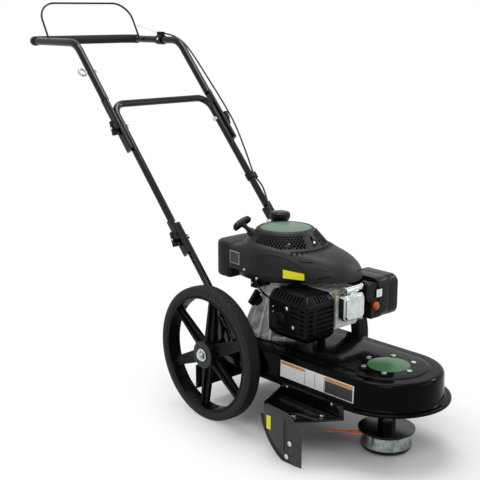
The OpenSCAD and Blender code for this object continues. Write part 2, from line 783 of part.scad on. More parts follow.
module recoil_cover() {
    t = cover_t;
    z = recoil_z;
    color("#262628") difference() {
        union() {
            translate([0, crank_y, 0]) rotate_extrude() polygon([[recoil_r - 8 - t, z], [recoil_r, z], [recoil_r, z + 5],
                [recoil_r - 4, z + 6], [recoil_neck_r, recoil_top - 4], [recoil_neck_r - 6, recoil_top], [0, recoil_top],
                [0, recoil_top - t], [recoil_neck_r - 7, recoil_top - t], [recoil_neck_r - 2, recoil_top - 5 - t],
                [recoil_r - 8 - t, z + 6]]);
            translate([0, crank_y, z + 8]) cylinder(r = 8, h = recoil_top - z - 8 - t / 2);
            intersection() {
                along(rope_exit - rope_dir * 30, rope_dir) cylinder(r = 11, h = 36);
                translate([-200, crank_y, z + 10]) cube([200, 200, 100]);
            }
        }
        along(rope_exit - rope_dir * 60, rope_dir) cylinder(r = rope_d / 2 + gap, h = 70);
    }
}

module recoil_pulley() {
    color("#3a3a3a") translate([0, crank_y, recoil_z + 10]) difference() {
        union() {
            cylinder(r = 50, h = 3);
            cylinder(r = 44, h = 12);
            translate([0, 0, 9]) cylinder(r = 50, h = 3);
        }
        translate([0, 0, -1]) cylinder(r = 8 + run, h = 20);
    }
}

module starter_grip() {
    c = rope_exit + rope_dir * grip_off;
    color("#1b1b1b") difference() {
        union() {
            along(rope_exit + rope_dir * (6 + gap), rope_dir) cylinder(r = 6.5, h = grip_off - 4);
            along(c, bar_dir) rotate_extrude() polygon([[0, -30], [6, -30], [10, -23], [10, 23], [6, 30], [0, 30]]);
        }
        along(rope_exit, rope_dir) cylinder(r = rope_d / 2 + gap, h = 20);
    }
}

module starter_rope() {
    color("#e0dcd0") along(rope_exit - rope_dir * 10, rope_dir) cylinder(d = rope_d, h = 30 - gap);
}

module fuel_tank() {
    color("#2a2a2c") {
        difference() {
            translate([0, 0, shroud_z - 34]) linear_extrude(tank_h) tank_plan();
            translate([-tank_x - tank_r + 4, tank_y - 16, shroud_z - 31]) linear_extrude(tank_h - 6)
                rounded(2 * (tank_x + tank_r - 4), 44, 20);
            translate([cap_x, cap_y, shroud_z]) cylinder(r = 17, h = 60);
            translate([0, crank_y, plate_z - 100]) cylinder(r = case_r + gap, h = 100 + gap);
            translate([0, crank_y, plate_z]) cylinder(r = flywheel_r + 5, h = 100);
            translate([-200, crank_y, plate_z - gap]) cube([400, 74 + gap, 8 + gap]);
        }
        translate([cap_x, cap_y, shroud_z + tank_h - 36]) linear_extrude(neck_top - shroud_z - tank_h + 36) ring(20, 3);
    }
}

module tank_plan() {
    for (x = [-tank_x, tank_x]) {
        translate([x, tank_y]) circle(tank_r);
    }
    translate([-tank_x, tank_y - 42]) square([2 * tank_x, tank_r + 42]);
    translate([-tank_x - tank_r, tank_y - 42]) square([2 * (tank_x + tank_r), 42]);
}

module fuel_cap() {
    z = neck_top - 14;
    color("#161616") difference() {
        union() {
            translate([cap_x, cap_y, z]) cylinder(d = cap_d, h = 22);
            translate([cap_x, cap_y, z + 22]) cylinder(d = cap_d - 8, h = 4);
        }
        translate([cap_x, cap_y, z - 1]) cylinder(r = 20 + gap, h = 15 + gap);
    }
}

module dipstick() {
    p = stick_base + stick_dir * (stick_boss + gap);
    color("#141414") {
        along(p, stick_dir) cylinder(r = 15, h = 10);
        along(p, stick_dir) translate([-5, -20, 9]) cube([10, 40, 16]);
        along(p - stick_dir * 30, stick_dir) cylinder(r = 8, h = 31);
    }
}

module carburettor() {
    x0 = cyl_x + fin_w / 2;
    color("#a8acae") {
        x_rod(x0, air_x0, head_face_y - 28, cyl_z + 8, 16);
        translate([x0 + 8, head_face_y - 46, cyl_z - 20]) cube([24, 38, 40]);
        translate([x0 + 20, head_face_y - 27, cyl_z - 44]) cylinder(r = 16, h = 26);
    }
}

module air_box_plan() {
    translate([air_y0, air_z0]) rounded(air_y1 - air_y0, air_z1 - air_z0, 22);
}

module air_box_inner() {
    translate([air_y0 + cover_t, air_z0 + cover_t])
        rounded(air_y1 - air_y0 - 2 * cover_t, air_z1 - air_z0 - 2 * cover_t, 22 - cover_t);
}

module air_filter_base() {
    color("#1d1d1e") difference() {
        union() {
            yz(air_x0, air_split - air_x0) air_box_plan();
            translate([primer_x - 18, air_y0 + 2, air_z0 + 6]) cube([40, 34, primer_z - air_z0 + 12]);
            translate([primer_x - 8, air_y0 + 38, air_z1 - 34]) rotate([90, 0, 0]) cylinder(r = 27, h = 34);
        }
        yz(air_x0 + cover_t, air_split) air_box_inner();
        translate([primer_x, air_y0 + 14, primer_z]) rotate([90, 0, 0]) cylinder(d = primer_d + 2 * gap, h = 40);
        x_rod(air_x0 - 5, air_x0 + 10, head_face_y - 28, cyl_z + 8, 12);
    }
}

module air_filter_cover() {
    color("#1d1d1e") difference() {
        union() {
            yz(air_split, air_x1 - 8 - air_split) air_box_plan();
            yz(air_x1 - 8, 8) translate([air_y0 + 6, air_z0 + 6])
                rounded(air_y1 - air_y0 - 12, air_z1 - air_z0 - 12, 18);
        }
        yz(air_split - 1, air_x1 - 8 - air_split) air_box_inner();
    }
}

module primer_bulb() {
    y = air_y0 + 2;
    color("#c4471f") translate([primer_x, y, primer_z]) rotate([90, 0, 0]) {
        translate([0, 0, -6]) cylinder(d = primer_d, h = 8);
        translate([0, 0, 2]) cylinder(d1 = primer_d, d2 = primer_d * 0.86, h = 4);
        translate([0, 0, 6]) cylinder(d1 = primer_d * 0.86, d2 = primer_d * 0.4, h = primer_reach - 6);
    }
}

module crankshaft() {
    color("silver") translate([0, crank_y, 0]) {
        translate([0, 0, belt_z - 14]) cylinder(d = crank_d, h = recoil_z - belt_z + 6);
        for (z = [cyl_z - 30, cyl_z + 12]) {
            translate([0, 0, z]) cylinder(r = 40, h = 14);
        }
        translate([0, 23, cyl_z - 17]) cylinder(r = 14, h = 30);
    }
}

module flywheel() {
    z = plate_z + 14;
    color("#5a5c5e") difference() {
        union() {
            translate([0, crank_y, z]) cylinder(r = flywheel_r, h = 20);
            for (a = [0 : 24 : 336]) {
                translate([0, crank_y, z + 20]) rotate(a) translate([40, -1.5, 0]) cube([flywheel_r - 46, 3, 12]);
            }
        }
        translate([0, crank_y, z - 10]) cylinder(d = crank_d + 2 * run, h = 60);
    }
}

module brake_lever() {
    z = plate_z - 3 - gap;
    color("#9a9c9e") translate([brake_x, brake_y, z]) {
        linear_extrude(3) {
            circle(8);
            rotate(-12) translate([-5, 0]) square([10, 34]);
        }
        translate([0, 0, 1]) cylinder(r = 4, h = 10);
    }
}

// Wheels
module tyre_shape() {
    w = tyre_w / 2;
    color("#1b1b1c") translate([track / 2, axle_y, wheel_r]) rotate([0, 90, 0]) rotate_extrude($fn = 96)
        polygon([[rim_r, 4 - w], [rim_r + 3, -w], [wheel_r - 6, -w], [wheel_r, 8 - w], [wheel_r, w - 8],
            [wheel_r - 6, w], [rim_r + 3, w], [rim_r, w - 4]]);
}

module rim_shape() {
    w = tyre_w / 2;
    inner = rim_r - barrel_t;
    hub_z = w + 2 - hub_w;
    color("#121213") translate([track / 2, axle_y, wheel_r]) rotate([0, 90, 0]) difference() {
        union() {
            translate([0, 0, 2 - w]) difference() {
                cylinder(r = rim_r - run, h = 2 * w - 4);
                translate([0, 0, -1]) cylinder(r = inner, h = 2 * w);
            }
            translate([0, 0, hub_z]) cylinder(d = hub_d, h = hub_w);
            for (a = [0 : 360 / spokes : 359]) {
                rotate(a + spoke_turn) translate([0, 0, -spoke_t / 2]) linear_extrude(spoke_t)
                    polygon([[hub_d / 2 - 6, -spoke_hub_w / 2], [inner + 2, -spoke_rim_w / 2],
                        [inner + 2, spoke_rim_w / 2], [hub_d / 2 - 6, spoke_hub_w / 2]]);
                rotate(a + spoke_turn) translate([hub_d / 2 - 6, -1.25, -spoke_t])
                    cube([inner - hub_d / 2 + 8, 2.5, 2.2 * spoke_t]);
            }
        }
        translate([0, 0, -60]) cylinder(d = axle_d + 2 * run, h = 120);
    }
}

module left_tyre() {
    tyre_shape();
}

module left_rim() {
    rim_shape();
}

module right_tyre() {
    mirror([1, 0, 0]) tyre_shape();
}

module right_rim() {
    mirror([1, 0, 0]) rim_shape();
}

// Handles
module paddle(x0, x1, w, t0, t1) {
    th = x1 - x0;
    on_leg((x0 + x1) / 2, t0) linear_extrude(t1 - t0) {
        square([th, w - th], center = true);
        for (s = [-1, 1]) {
            translate([0, s * (w - th) / 2]) circle(d = th);
        }
    }
}

module lower_handle() {
    a = leg_at(lower_x, 8);
    b = leg_at(lower_x, lower_bar_t);
    color("#161616") difference() {
        union() {
            pipe([a, b, [-b[0], b[1], b[2]], [-a[0], a[1], a[2]]], [0, 40, 40, 0], lower_d / 2, tube_t);
            pair() paddle(lower_paddle_x0, lower_paddle_x1, 26, lower_end_t, 14);
        }
        x_rod(-250, 250, leg(-lower_pivot_t)[0], leg(-lower_pivot_t)[1], bolt_r + run);
        x_rod(-250, 250, leg(upper_pivot_t)[0], leg(upper_pivot_t)[1], bolt_r + run);
    }
}

module upper_handle() {
    a = leg_at(upper_x, lower_bar_t + 16);
    b = [upper_x, bend_y, top_z];
    c = [upper_x, grip_y, top_z];
    color("#161616") difference() {
        union() {
            pipe([a, b, c, [-c[0], c[1], c[2]], [-b[0], b[1], b[2]], [-a[0], a[1], a[2]]], [0, 70, grip_bend, grip_bend,
                70, 0], upper_d / 2, tube_t);
            pair() paddle(upper_paddle_x0, upper_paddle_x1, 27, leg_end_t, lower_bar_t + 22);
        }
        x_rod(-250, 250, leg(upper_pivot_t)[0], leg(upper_pivot_t)[1], bolt_r + run);
        pair() x_rod(upper_x - upper_d, upper_x, bail_y, top_z, bail_d / 2 + run);
        x_rod(-250, -100, leg(eye_t)[0], leg(eye_t)[1], 2.4 + gap / 2);
    }
}

module foam_grip() {
    half = upper_x - grip_bend - 1;
    color("#232324") difference() {
        x_rod(-half, half, grip_y, top_z, grip_d / 2);
        x_rod(-half - 1, half + 1, grip_y, top_z, upper_d / 2 + run);
    }
}

module pivot_bolt(x0, x1, t) {
    pair() {
        x_rod(x0, x1, leg(t)[0], leg(t)[1], bolt_r);
        x_rod(x0 - 5, x0, leg(t)[0], leg(t)[1], 7);
    }
}

module lower_bolts() {
    color("silver") pivot_bolt(mast_x - mast_d / 2 - gap, lower_paddle_x1 + gap + 12, -lower_pivot_t);
}

module upper_bolts() {
    color("silver") pivot_bolt(lower_x - lower_d / 2 - gap, upper_paddle_x1 + gap + 12, upper_pivot_t);
}

module knob(x0, t) {
    color("#141414") difference() {
        union() {
            x_rod(x0, x0 + knob_len, leg(t)[0], leg(t)[1], 10);
            translate([x0 + 5, leg(t)[0], leg(t)[1]]) rotate([leg_a + 20, 0, 0])
                translate([0, -20, -4.5]) cube([13, 40, 9]);
        }
        x_rod(x0 - 1, x0 + 12 + gap, leg(t)[0], leg(t)[1], bolt_r + run);
    }
}

module left_upper_knob() {
    knob(upper_paddle_x1 + gap, upper_pivot_t);
}

module right_upper_knob() {
    mirror([1, 0, 0]) knob(upper_paddle_x1 + gap, upper_pivot_t);
}

module left_lower_knob() {
    knob(lower_paddle_x1 + gap, -lower_pivot_t);
}

module right_lower_knob() {
    mirror([1, 0, 0]) knob(lower_paddle_x1 + gap, -lower_pivot_t);
}

module rope_guide() {
    c = leg_at(-upper_x - upper_d / 2 - 17, eye_t);
    color("#c8ccd0") {
        x_rod(-upper_x - upper_d / 2 - 7, -upper_x + upper_d / 2 + 8, leg(eye_t)[0], leg(eye_t)[1], 2.4);
        x_hex(-upper_x + upper_d / 2 + gap, -upper_x + upper_d / 2 + 5, leg(eye_t)[0], leg(eye_t)[1], 11);
        translate(c) rotate([leg_a, 0, 0]) rotate_extrude() translate([11, 0]) circle(3);
    }
}

module cable_clip() {
    color("#121212") difference() {
        union() {
            translate([upper_x, clip_y + clip_len, top_z]) rotate([90, 0, 0]) cylinder(d = upper_d + 8, h = clip_len);
            translate([upper_x - 5, clip_y, top_z]) cube([10, clip_len, ear_z - top_z + 5]);
        }
        translate([upper_x, clip_y + clip_len + 1, top_z]) rotate([90, 0, 0])
            cylinder(d = upper_d + 2 * run, h = clip_len + 2);
    }
}

module cable_clamp() {
    color("#121212") difference() {
        union() {
            on_leg(lower_x, clamp_t - clamp_len / 2) cylinder(d = lower_d + 7, h = clamp_len);
            on_leg(lower_x, clamp_t - clamp_len / 2) translate([0, -5, 0]) cube([clamp_ear_x - lower_x + 5, 10, clamp_len]);
        }
        on_leg(lower_x, clamp_t - clamp_len) cylinder(d = lower_d + 2 * run, h = 2 * clamp_len);
    }
}

module cable_upper() {
    first = [upper_x, clip_y - gap, ear_z];
    last = leg_at(clamp_ear_x, clamp_t + clamp_len / 2 + gap);
    color("#101010") cable(concat([first], cable_upper_route, [last]), 2.5);
}

module cable_lower() {
    first = leg_at(clamp_ear_x, clamp_t - clamp_len / 2 - 1);
    last = [brake_end[0], crank_y + 75 + gap, brake_end[2]];
    color("#101010") cable(concat([first], cable_lower_route, [last]), 2.5);
}

module bail() {
    top = [bail_x, bail_y + bail_len * cos(bail_a), top_z + bail_len * sin(bail_a)];
    low = [bail_x, bail_y, top_z];
    pin = [upper_x, bail_y, top_z];
    color("#151515") pipe([pin, low, top, [-top[0], top[1], top[2]], [-low[0], low[1], low[2]],
        [-pin[0], pin[1], pin[2]]], [0, 7, 60, 60, 7, 0], bail_d / 2, 0);
}

module bail_wire() {
    reach = 52;
    a = [bail_x + bail_d / 2 + 3 + gap, bail_y + reach * cos(bail_a), top_z + reach * sin(bail_a)];
    b = [upper_x, clip_y + clip_len + gap, ear_z];
    color("#c0c4c8") {
        translate(a) sphere(3);
        along(a, b - a) cylinder(r = 0.9, h = norm(b - a));
    }
}

deck_shell();
spindle_housing();
spindle_bearings();
deck_bolts();
drive_belt();
axle();
axle_brackets();
frame_bolts();
masts();
lower_bolts();
guard_bracket();
debris_shield();
rubber_flap();
crankcase();
cylinder_head();
valve_cover();
plug_shield();
muffler();
muffler_guard();
blower_shroud();
recoil_cover();
fuel_tank();
carburettor();
air_filter_base();
air_filter_cover();
crankshaft();
flywheel();
drive_pulley();
spindle_shaft();
driven_pulley();
head_plate();
line_drum();
glide_disc();
trimmer_line();
right_tyre();
right_rim();
left_tyre();
left_rim();
lower_handle();
upper_bolts();
cable_clamp();
cable_lower();
upper_handle();
foam_grip();
rope_guide();
cable_clip();
cable_upper();
bail();
bail_wire();
brake_lever();
starter_grip();
starter_rope();
recoil_pulley();
primer_bulb();
fuel_cap();
dipstick();
right_upper_knob();
left_upper_knob();
right_lower_knob();
left_lower_knob();
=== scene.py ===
import bpy
import json
import math
from mathutils import Vector, Matrix


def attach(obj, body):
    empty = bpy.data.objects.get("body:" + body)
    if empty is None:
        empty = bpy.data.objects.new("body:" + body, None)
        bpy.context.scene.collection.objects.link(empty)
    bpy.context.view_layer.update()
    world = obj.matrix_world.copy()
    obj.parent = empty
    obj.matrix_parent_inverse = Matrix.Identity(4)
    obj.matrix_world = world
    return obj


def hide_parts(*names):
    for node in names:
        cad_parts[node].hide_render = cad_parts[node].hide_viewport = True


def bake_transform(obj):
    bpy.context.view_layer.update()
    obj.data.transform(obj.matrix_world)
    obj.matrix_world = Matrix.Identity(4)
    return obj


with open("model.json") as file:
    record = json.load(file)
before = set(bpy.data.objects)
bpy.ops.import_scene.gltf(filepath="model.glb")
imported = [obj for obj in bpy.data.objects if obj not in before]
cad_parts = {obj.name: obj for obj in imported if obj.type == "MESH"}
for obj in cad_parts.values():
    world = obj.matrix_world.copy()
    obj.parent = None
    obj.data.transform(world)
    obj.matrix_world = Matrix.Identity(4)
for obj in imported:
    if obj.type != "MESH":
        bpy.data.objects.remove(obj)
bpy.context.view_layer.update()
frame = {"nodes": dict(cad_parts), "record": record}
nodes = frame["nodes"]
bodyOf = {n: b for b, ns in frame["record"]["behaviour"]["bodies"].items() for n in ns}
slotOf = {p["node"]: p["material_slot"] for p in frame["record"]["subparts"]}
print("frame loaded", len(nodes), "nodes")

# camera: the photo's own viewpoint, square picture
cameraSet = {"place": (-1.7847, -1.4572, 1.0506), "tilt": 76.943, "turn": -41.806, "lens": 74.82,
             "sensor": 36}
cameraData = bpy.data.cameras.new("photoCamera")
cameraData.lens = cameraSet["lens"]
cameraData.sensor_width = cameraSet["sensor"]
camera = bpy.data.objects.new("photoCamera", cameraData)
bpy.context.scene.collection.objects.link(camera)
camera.location = cameraSet["place"]
camera.rotation_euler = (math.radians(cameraSet["tilt"]), 0, math.radians(cameraSet["turn"]))
bpy.context.scene.camera = camera
bpy.context.scene.view_settings.view_transform = "Standard"


# sRGB hex to the linear values that sockets take
def linear(hexColour):
    out = []
    for i in (1, 3, 5):
        c = int(hexColour[i:i + 2], 16) / 255
        out.append(c / 12.92 if c <= 0.04045 else ((c + 0.055) / 1.055) ** 2.4)
    return (*out, 1)


# one node with its settings and links
def addNode(tree, kind, values=None, links=None, **settings):
    made = tree.nodes.new(kind)
    for key, value in settings.items():
        setattr(made, key, value)
    for key, value in (values or {}).items():
        made.inputs[key].default_value = value
    for key, (source, output) in (links or {}).items():
        tree.links.new(source.outputs[output], made.inputs[key])
    return made


# the noise behind grain and mottle, the same on every finish
noiseSet = {"grainDetail": 3, "grainRough": 0.6, "grainStrength": 0.6, "cloudDetail": 4, "cloudRough": 0.55,
            "cloudSpan": (0.38, 0.68)}


# a surface of one colour and gloss, with an optional grain (size and height in mm)
# and an optional mottle (size in mm and second colour)
def surface(name, colour, roughness, metallic=0, ior=1.32, grain=None, mottle=None):
    s = noiseSet
    made = bpy.data.materials.new(name)
    made.use_nodes = True
    tree = made.node_tree
    tree.nodes.clear()
    values = {"Roughness": roughness, "Metallic": metallic, "Base Color": linear(colour)}
    if not metallic:
        values["IOR"] = ior
    shader = addNode(tree, "ShaderNodeBsdfPrincipled", values)
    addNode(tree, "ShaderNodeOutputMaterial", links={"Surface": (shader, "BSDF")})
    if grain or mottle:
        place = addNode(tree, "ShaderNodeTexCoord")
    if grain:
        sizeMm, heightMm = grain
        noise = addNode(tree, "ShaderNodeTexNoise",
                        {"Scale": 1000 / sizeMm, "Detail": s["grainDetail"], "Roughness": s["grainRough"]},
                        {"Vector": (place, "Object")})
        bump = addNode(tree, "ShaderNodeBump", {"Strength": s["grainStrength"], "Distance": heightMm / 1000},
                       {"Height": (noise, "Fac")})
        tree.links.new(bump.outputs["Normal"], shader.inputs["Normal"])
    if mottle:
        sizeMm, other = mottle
        cloud = addNode(tree, "ShaderNodeTexNoise",
                        {"Scale": 1000 / sizeMm, "Detail": s["cloudDetail"], "Roughness": s["cloudRough"]},
                        {"Vector": (place, "Object")})
        ramp = addNode(tree, "ShaderNodeValToRGB", links={"Fac": (cloud, "Fac")})
        for element, position, tone in zip(ramp.color_ramp.elements, s["cloudSpan"], (colour, other)):
            element.position = position
            element.color = linear(tone)
        tree.links.new(ramp.outputs["Color"], shader.inputs["Base Color"])
    return made


# finishes, one for each of the record's slots; grain too fine to show is drawn as coarse as it needs to show
finishes = {
    # stove enamel: deep black, sharp reflections
    "deck_paint": surface("glossStoveEnamel", "#050506", 0.09, ior=1.13, grain=(11, 0.02)),
    # powder coat on tube and brackets: glossy, faint orange peel
    "frame_paint": surface("blackPowderCoat", "#050506", 0.13, ior=1.35, grain=(1.8, 0.02)),
    # powder coat on the shield sheet: dark grey
    "guard_paint": surface("greyPowderCoat", "#333336", 0.4, grain=(1.6, 0.03)),
    # bright zinc: pale, faintly green, slightly clouded
    "zinc": surface("brightZincPlate", "#ccd4d1", 0.2, metallic=1, mottle=(16, "#b2bcb9")),
    # turned steel: plain grey metal with soft highlights
    "steel": surface("turnedSteel", "#b4b6b8", 0.3, metallic=1, grain=(1.2, 0.02), mottle=(12, "#a2a4a6")),
    # sand casting: matt grey metal with a coarse skin
    "cast_alu": surface("castAluminium", "#d2d5d5", 0.46, metallic=0.45, grain=(2.4, 0.2),
                        mottle=(18, "#a3a6a7")),
    # steel that has been hot: dull brown
    "muffler_steel": surface("heatStainedSteel", "#4a4642", 0.5, metallic=0.8, mottle=(18, "#35312e")),
    # moulded polypropylene with a spark-eroded texture
    "shroud_plastic": surface("texturedPolypropylene", "#161618", 0.5, ior=1.31, grain=(1.4, 0.05)),
    # moulded nylon, blacker and smoother
    "black_plastic": surface("mouldedNylon", "#080809", 0.34, ior=1.24, grain=(1.6, 0.02)),
    # tyre compound: dry and grey
    "tyre": surface("tyreRubber", "#171719", 0.62, grain=(2.2, 0.05), mottle=(40, "#1b1b1d")),
    # cut sheet rubber: black, hardly any shine
    "rubber": surface("sheetRubber", "#0d0d0e", 0.6, grain=(1.6, 0.03)),
    # closed-cell foam: soft black with small pores
    "foam": surface("closedCellFoam", "#141415", 0.7, grain=(1.4, 0.08)),
    # moulded rubber bulb: warm red, satin
    "bulb": surface("primerRubber", "#c2431a", 0.4, ior=1.45, grain=(1.6, 0.03), mottle=(9, "#b53c16")),
    # drawn nylon: strong orange, satin
    "line": surface("nylonLine", "#f0701a", 0.4, ior=1.3, mottle=(8, "#e56512")),
    # braided rope: dark grey and rough
    "rope": surface("braidedRope", "#2a2a2a", 0.8, grain=(1.2, 0.2)),
    # extruded jacket: black with a soft shine
    "cable": surface("pvcJacket", "#0c0c0d", 0.35, grain=(2.0, 0.03)),
    # chrome plate: bright, with clear reflections
    "chrome": surface("chromePlate", "#e4e7e8", 0.1, metallic=1, mottle=(20, "#d6dadb")),
}
# finishes without a slot of their own: label places, and pieces that differ from the rest of their slot
extras = {
    # tread and its sipes: drier than the sidewall, the sipes a paler grey
    "tread": surface("wornTread", "#151517", 0.7, ior=1.22, grain=(2.0, 0.06), mottle=(30, "#1a1a1c")),
    "sipe": surface("paleSipeGrey", "#3a3a3c", 0.7, grain=(2.0, 0.05)),
    # rim and hub: one blacker, one greyer than other nylon
    "rimBlack": surface("mouldedRim", "#070708", 0.36, ior=1.2, grain=(1.6, 0.02)),
    "hub": surface("dullNylon", "#2a2c2c", 0.45, grain=(1.6, 0.03)),
    # the drum's zinc and the eye's: darker copies of the bright zinc; the drum's is a painted reflection of the
    # dark floor and deck round it, the eye's is painted shade that keeps it from vanishing against the white it
    # reflects
    "drumZincPaintedDark": surface("drumZincDarkReflection", "#8f9894", 0.16, metallic=1, mottle=(14, "#646d69")),
    "eyeZincPaintedDark": surface("eyeZincDarkShade", "#8d9494", 0.3, metallic=1, mottle=(10, "#7e8686")),
    # green disc: painted, satin gloss
    "badge": surface("greenBadge", "#27502e", 0.24, ior=1.3, grain=(3.0, 0.01), mottle=(40, "#2b5833")),
    # vinyl for the label places: even colour with a soft gloss
    "yellow": surface("yellowVinyl", "#ece20f", 0.35, ior=1.4, grain=(2.5, 0.01), mottle=(30, "#e3d90f")),
    "amber": surface("amberVinyl", "#c98a1e", 0.35, ior=1.4, grain=(2.5, 0.01), mottle=(30, "#bf831c")),
    "white": surface("whiteVinyl", "#e2e2e0", 0.35, ior=1.4, grain=(2.5, 0.01), mottle=(30, "#d8d8d6")),
    "pale": surface("paleVinyl", "#a9abab", 0.35, ior=1.4, grain=(2.5, 0.01), mottle=(20, "#9d9f9f")),
    "grey": surface("greyVinyl", "#3a3a3c", 0.35, ior=1.4, grain=(2.5, 0.01), mottle=(25, "#353537")),
    # pressed board: matt khaki
    "khaki": surface("gasketBoard", "#8f8563", 0.6, ior=1.4, grain=(2.0, 0.05), mottle=(6, "#847a5a")),
    # enamel on the muffler guard: black, half gloss
    "guardBlack": surface("enamelledGuard", "#08080a", 0.3, ior=1.17, grain=(1.6, 0.03)),
    # the inside of slots and grooves: painted shade, a near-black that stands in for the shadow in them
    "paintedSlotShade": surface("deepShadow", "#030303", 0.8, ior=1.2, grain=(2.0, 0.05)),
}
for name, piece in nodes.items():
    piece.data.materials.clear()
    piece.data.materials.append(finishes[slotOf[name]])
# the drum takes the darker zinc: a painted dark reflection
nodes["line_drum"].data.materials[0] = extras["drumZincPaintedDark"]
print("finishes", len(finishes) + len(extras))


# a smooth run of points through the given ones
def smoothRun(points, steps=6):
    pts = [Vector(p) for p in points]
    out = []
    for i in range(len(pts) - 1):
        p0, p1, p2, p3 = pts[max(i - 1, 0)], pts[i], pts[i + 1], pts[min(i + 2, len(pts) - 1)]
        for k in range(steps):
            t = k / steps
            out.append(0.5 * (2 * p1 + (p2 - p0) * t + (2 * p0 - 5 * p1 + 4 * p2 - p3) * t * t
                              + (3 * p1 - p0 - 3 * p2 + p3) * t ** 3))
    out.append(pts[-1])
    return out


# 0 before a, 1 after b, an easy rise between them
def smoothStep(a, b, x):
    t = min(1, max(0, (x - a) / (b - a)))
    return t * t * (3 - 2 * t)


def clearSelection():
    if bpy.context.object and bpy.context.object.mode != "OBJECT":
        bpy.ops.object.mode_set(mode="OBJECT")
    bpy.ops.object.select_all(action="DESELECT")


def activate(piece):
    clearSelection()
    piece.select_set(True)
    bpy.context.view_layer.objects.active = piece


# edit mode with the whole mesh selected
def openMesh(piece, mode="VERT"):
    activate(piece)
    bpy.ops.object.mode_set(mode="EDIT")
    bpy.ops.mesh.select_mode(type=mode)
    bpy.ops.mesh.select_all(action="SELECT")


def closeMesh():
    bpy.ops.object.mode_set(mode="OBJECT")


# puts the object's own place into its mesh
def freeze(piece):
    activate(piece)
    bpy.ops.object.transform_apply(location=True, rotation=True, scale=True)


def applyModifier(piece, kind, **settings):
    activate(piece)
    made = piece.modifiers.new(kind.lower(), kind)
    for key, value in settings.items():
        setattr(made, key, value)
    bpy.ops.object.modifier_apply(modifier=made.name)


# rounds the edges sharper than an angle
def roundEdges(piece, widthMm, segments=3, angle=30):
    applyModifier(piece, "BEVEL", width=widthMm / 1000, segments=segments, limit_method="ANGLE",
                  angle_limit=math.radians(angle), miter_outer="MITER_ARC", use_clamp_overlap=True)


def smoothBy(piece, angle=35):
    activate(piece)
    bpy.ops.object.shade_smooth_by_angle(angle=math.radians(angle))


# merge distance in metres, and the angle in degrees up to which two faces are one
joinSet = {"merge": 1e-5, "flat": 0.8}


# merges doubles and turns the faces outwards
def mend(piece):
    openMesh(piece)
    bpy.ops.mesh.remove_doubles(threshold=joinSet["merge"])
    bpy.ops.mesh.normals_make_consistent(inside=False)
    closeMesh()


# closes the open ends of a loft
def closeEnds(piece):
    openMesh(piece, "EDGE")
    bpy.ops.mesh.fill_holes(sides=0)
    bpy.ops.mesh.normals_make_consistent(inside=False)
    closeMesh()


# cuts away what lies behind a plane across Y, in mm
def cutBehind(piece, yMm, fill=False):
    openMesh(piece)
    bpy.ops.mesh.bisect(plane_co=(0, yMm / 1000, 0), plane_no=(0, 1, 0), clear_outer=True, use_fill=fill)
    closeMesh()


# bevels the edges that a test of their two ends, in mm, picks out
def bevelWhere(piece, picks, widthMm, segments):
    openMesh(piece, "EDGE")
    bpy.ops.mesh.select_all(action="DESELECT")
    closeMesh()
    for e in piece.data.edges:
        a, b = (piece.data.vertices[i].co * 1000 for i in e.vertices)
        e.select = picks(a, b)
    bpy.ops.object.mode_set(mode="EDIT")
    bpy.ops.mesh.bevel(offset=widthMm / 1000, segments=segments)
    closeMesh()


# turns a mesh about an axis of the frame, in degrees, then shifts it, in mm
def placeMesh(piece, angle, axis, by):
    piece.data.transform(Matrix.Rotation(math.radians(angle), 4, axis))
    piece.data.transform(Matrix.Translation([v / 1000 for v in by]))
    return piece


# gives a piece its finish (its slot's, unless another is given) and its body, and hides the CAD nodes that it
# replaces
def settle(piece, body, slot, stands=(), finish=None):
    if not piece.data.materials or finish:
        piece.data.materials.clear()
        piece.data.materials.append(finish or finishes[slot])
    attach(piece, body)
    if stands:
        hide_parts(*stands)
    return piece


# a copy of a CAD node with its flat faces joined and its edges rounded
def roundedCopy(node, name, widthMm, segments=2, angle=30, smooth=35, finish=None):
    piece = bpy.data.objects.new(name, nodes[node].data.copy())
    bpy.context.scene.collection.objects.link(piece)
    activate(piece)
    if piece.data.has_custom_normals:
        bpy.ops.mesh.customdata_custom_splitnormals_clear()
    openMesh(piece)
    bpy.ops.mesh.remove_doubles(threshold=joinSet["merge"])
    bpy.ops.mesh.dissolve_limited(angle_limit=math.radians(joinSet["flat"]))
    closeMesh()
    if widthMm:
        roundEdges(piece, widthMm, segments, angle)
    smoothBy(piece, smooth)
    return settle(piece, bodyOf[node], slotOf[node], (node,), finish)


# one vertex, extruded along a run of points
def drawChain(name, points):
    clearSelection()
    bpy.ops.mesh.primitive_plane_add(size=0.01, location=(0, 0, 0))
    piece = bpy.context.object
    piece.name = name
    bpy.ops.object.mode_set(mode="EDIT")
    bpy.ops.mesh.select_mode(type="VERT")
    bpy.ops.mesh.select_all(action="SELECT")
    bpy.ops.mesh.merge(type="CENTER")
    bpy.ops.transform.translate(value=points[0])
    for a, b in zip(points, points[1:]):
        bpy.ops.mesh.extrude_vertices_move(TRANSFORM_OT_translate={"value": Vector(b) - Vector(a)})
    return piece


# a profile of (radius, along) in mm turned about an axis through a point in mm
def turned(name, profile, centre, axis=(0, 0, 1), steps=96):
    axis = Vector(axis).normalized()
    side = Vector((0, 0, 1)).cross(axis)
    side = side.normalized() if side.length > 0.1 else Vector((1, 0, 0))
    centre = Vector(centre) / 1000
    piece = drawChain(name, [centre + (side * r + axis * h) / 1000 for r, h in profile])
    bpy.ops.mesh.select_all(action="SELECT")
    bpy.ops.mesh.spin(steps=steps, angle=2 * math.pi, center=centre, axis=axis)
    bpy.ops.object.mode_set(mode="OBJECT")
    mend(piece)
    smoothBy(piece, 35)
    return piece


# a box between two corners in mm, with its edges rounded
def block(name, low, high, roundMm=0, segments=3):
    clearSelection()
    low, high = Vector(low) / 1000, Vector(high) / 1000
    bpy.ops.mesh.primitive_cube_add(size=1, location=(low + high) / 2)
    piece = bpy.context.object
    piece.name = name
    piece.scale = high - low
    freeze(piece)
    if roundMm:
        roundEdges(piece, roundMm, segments)
        smoothBy(piece)
    return piece


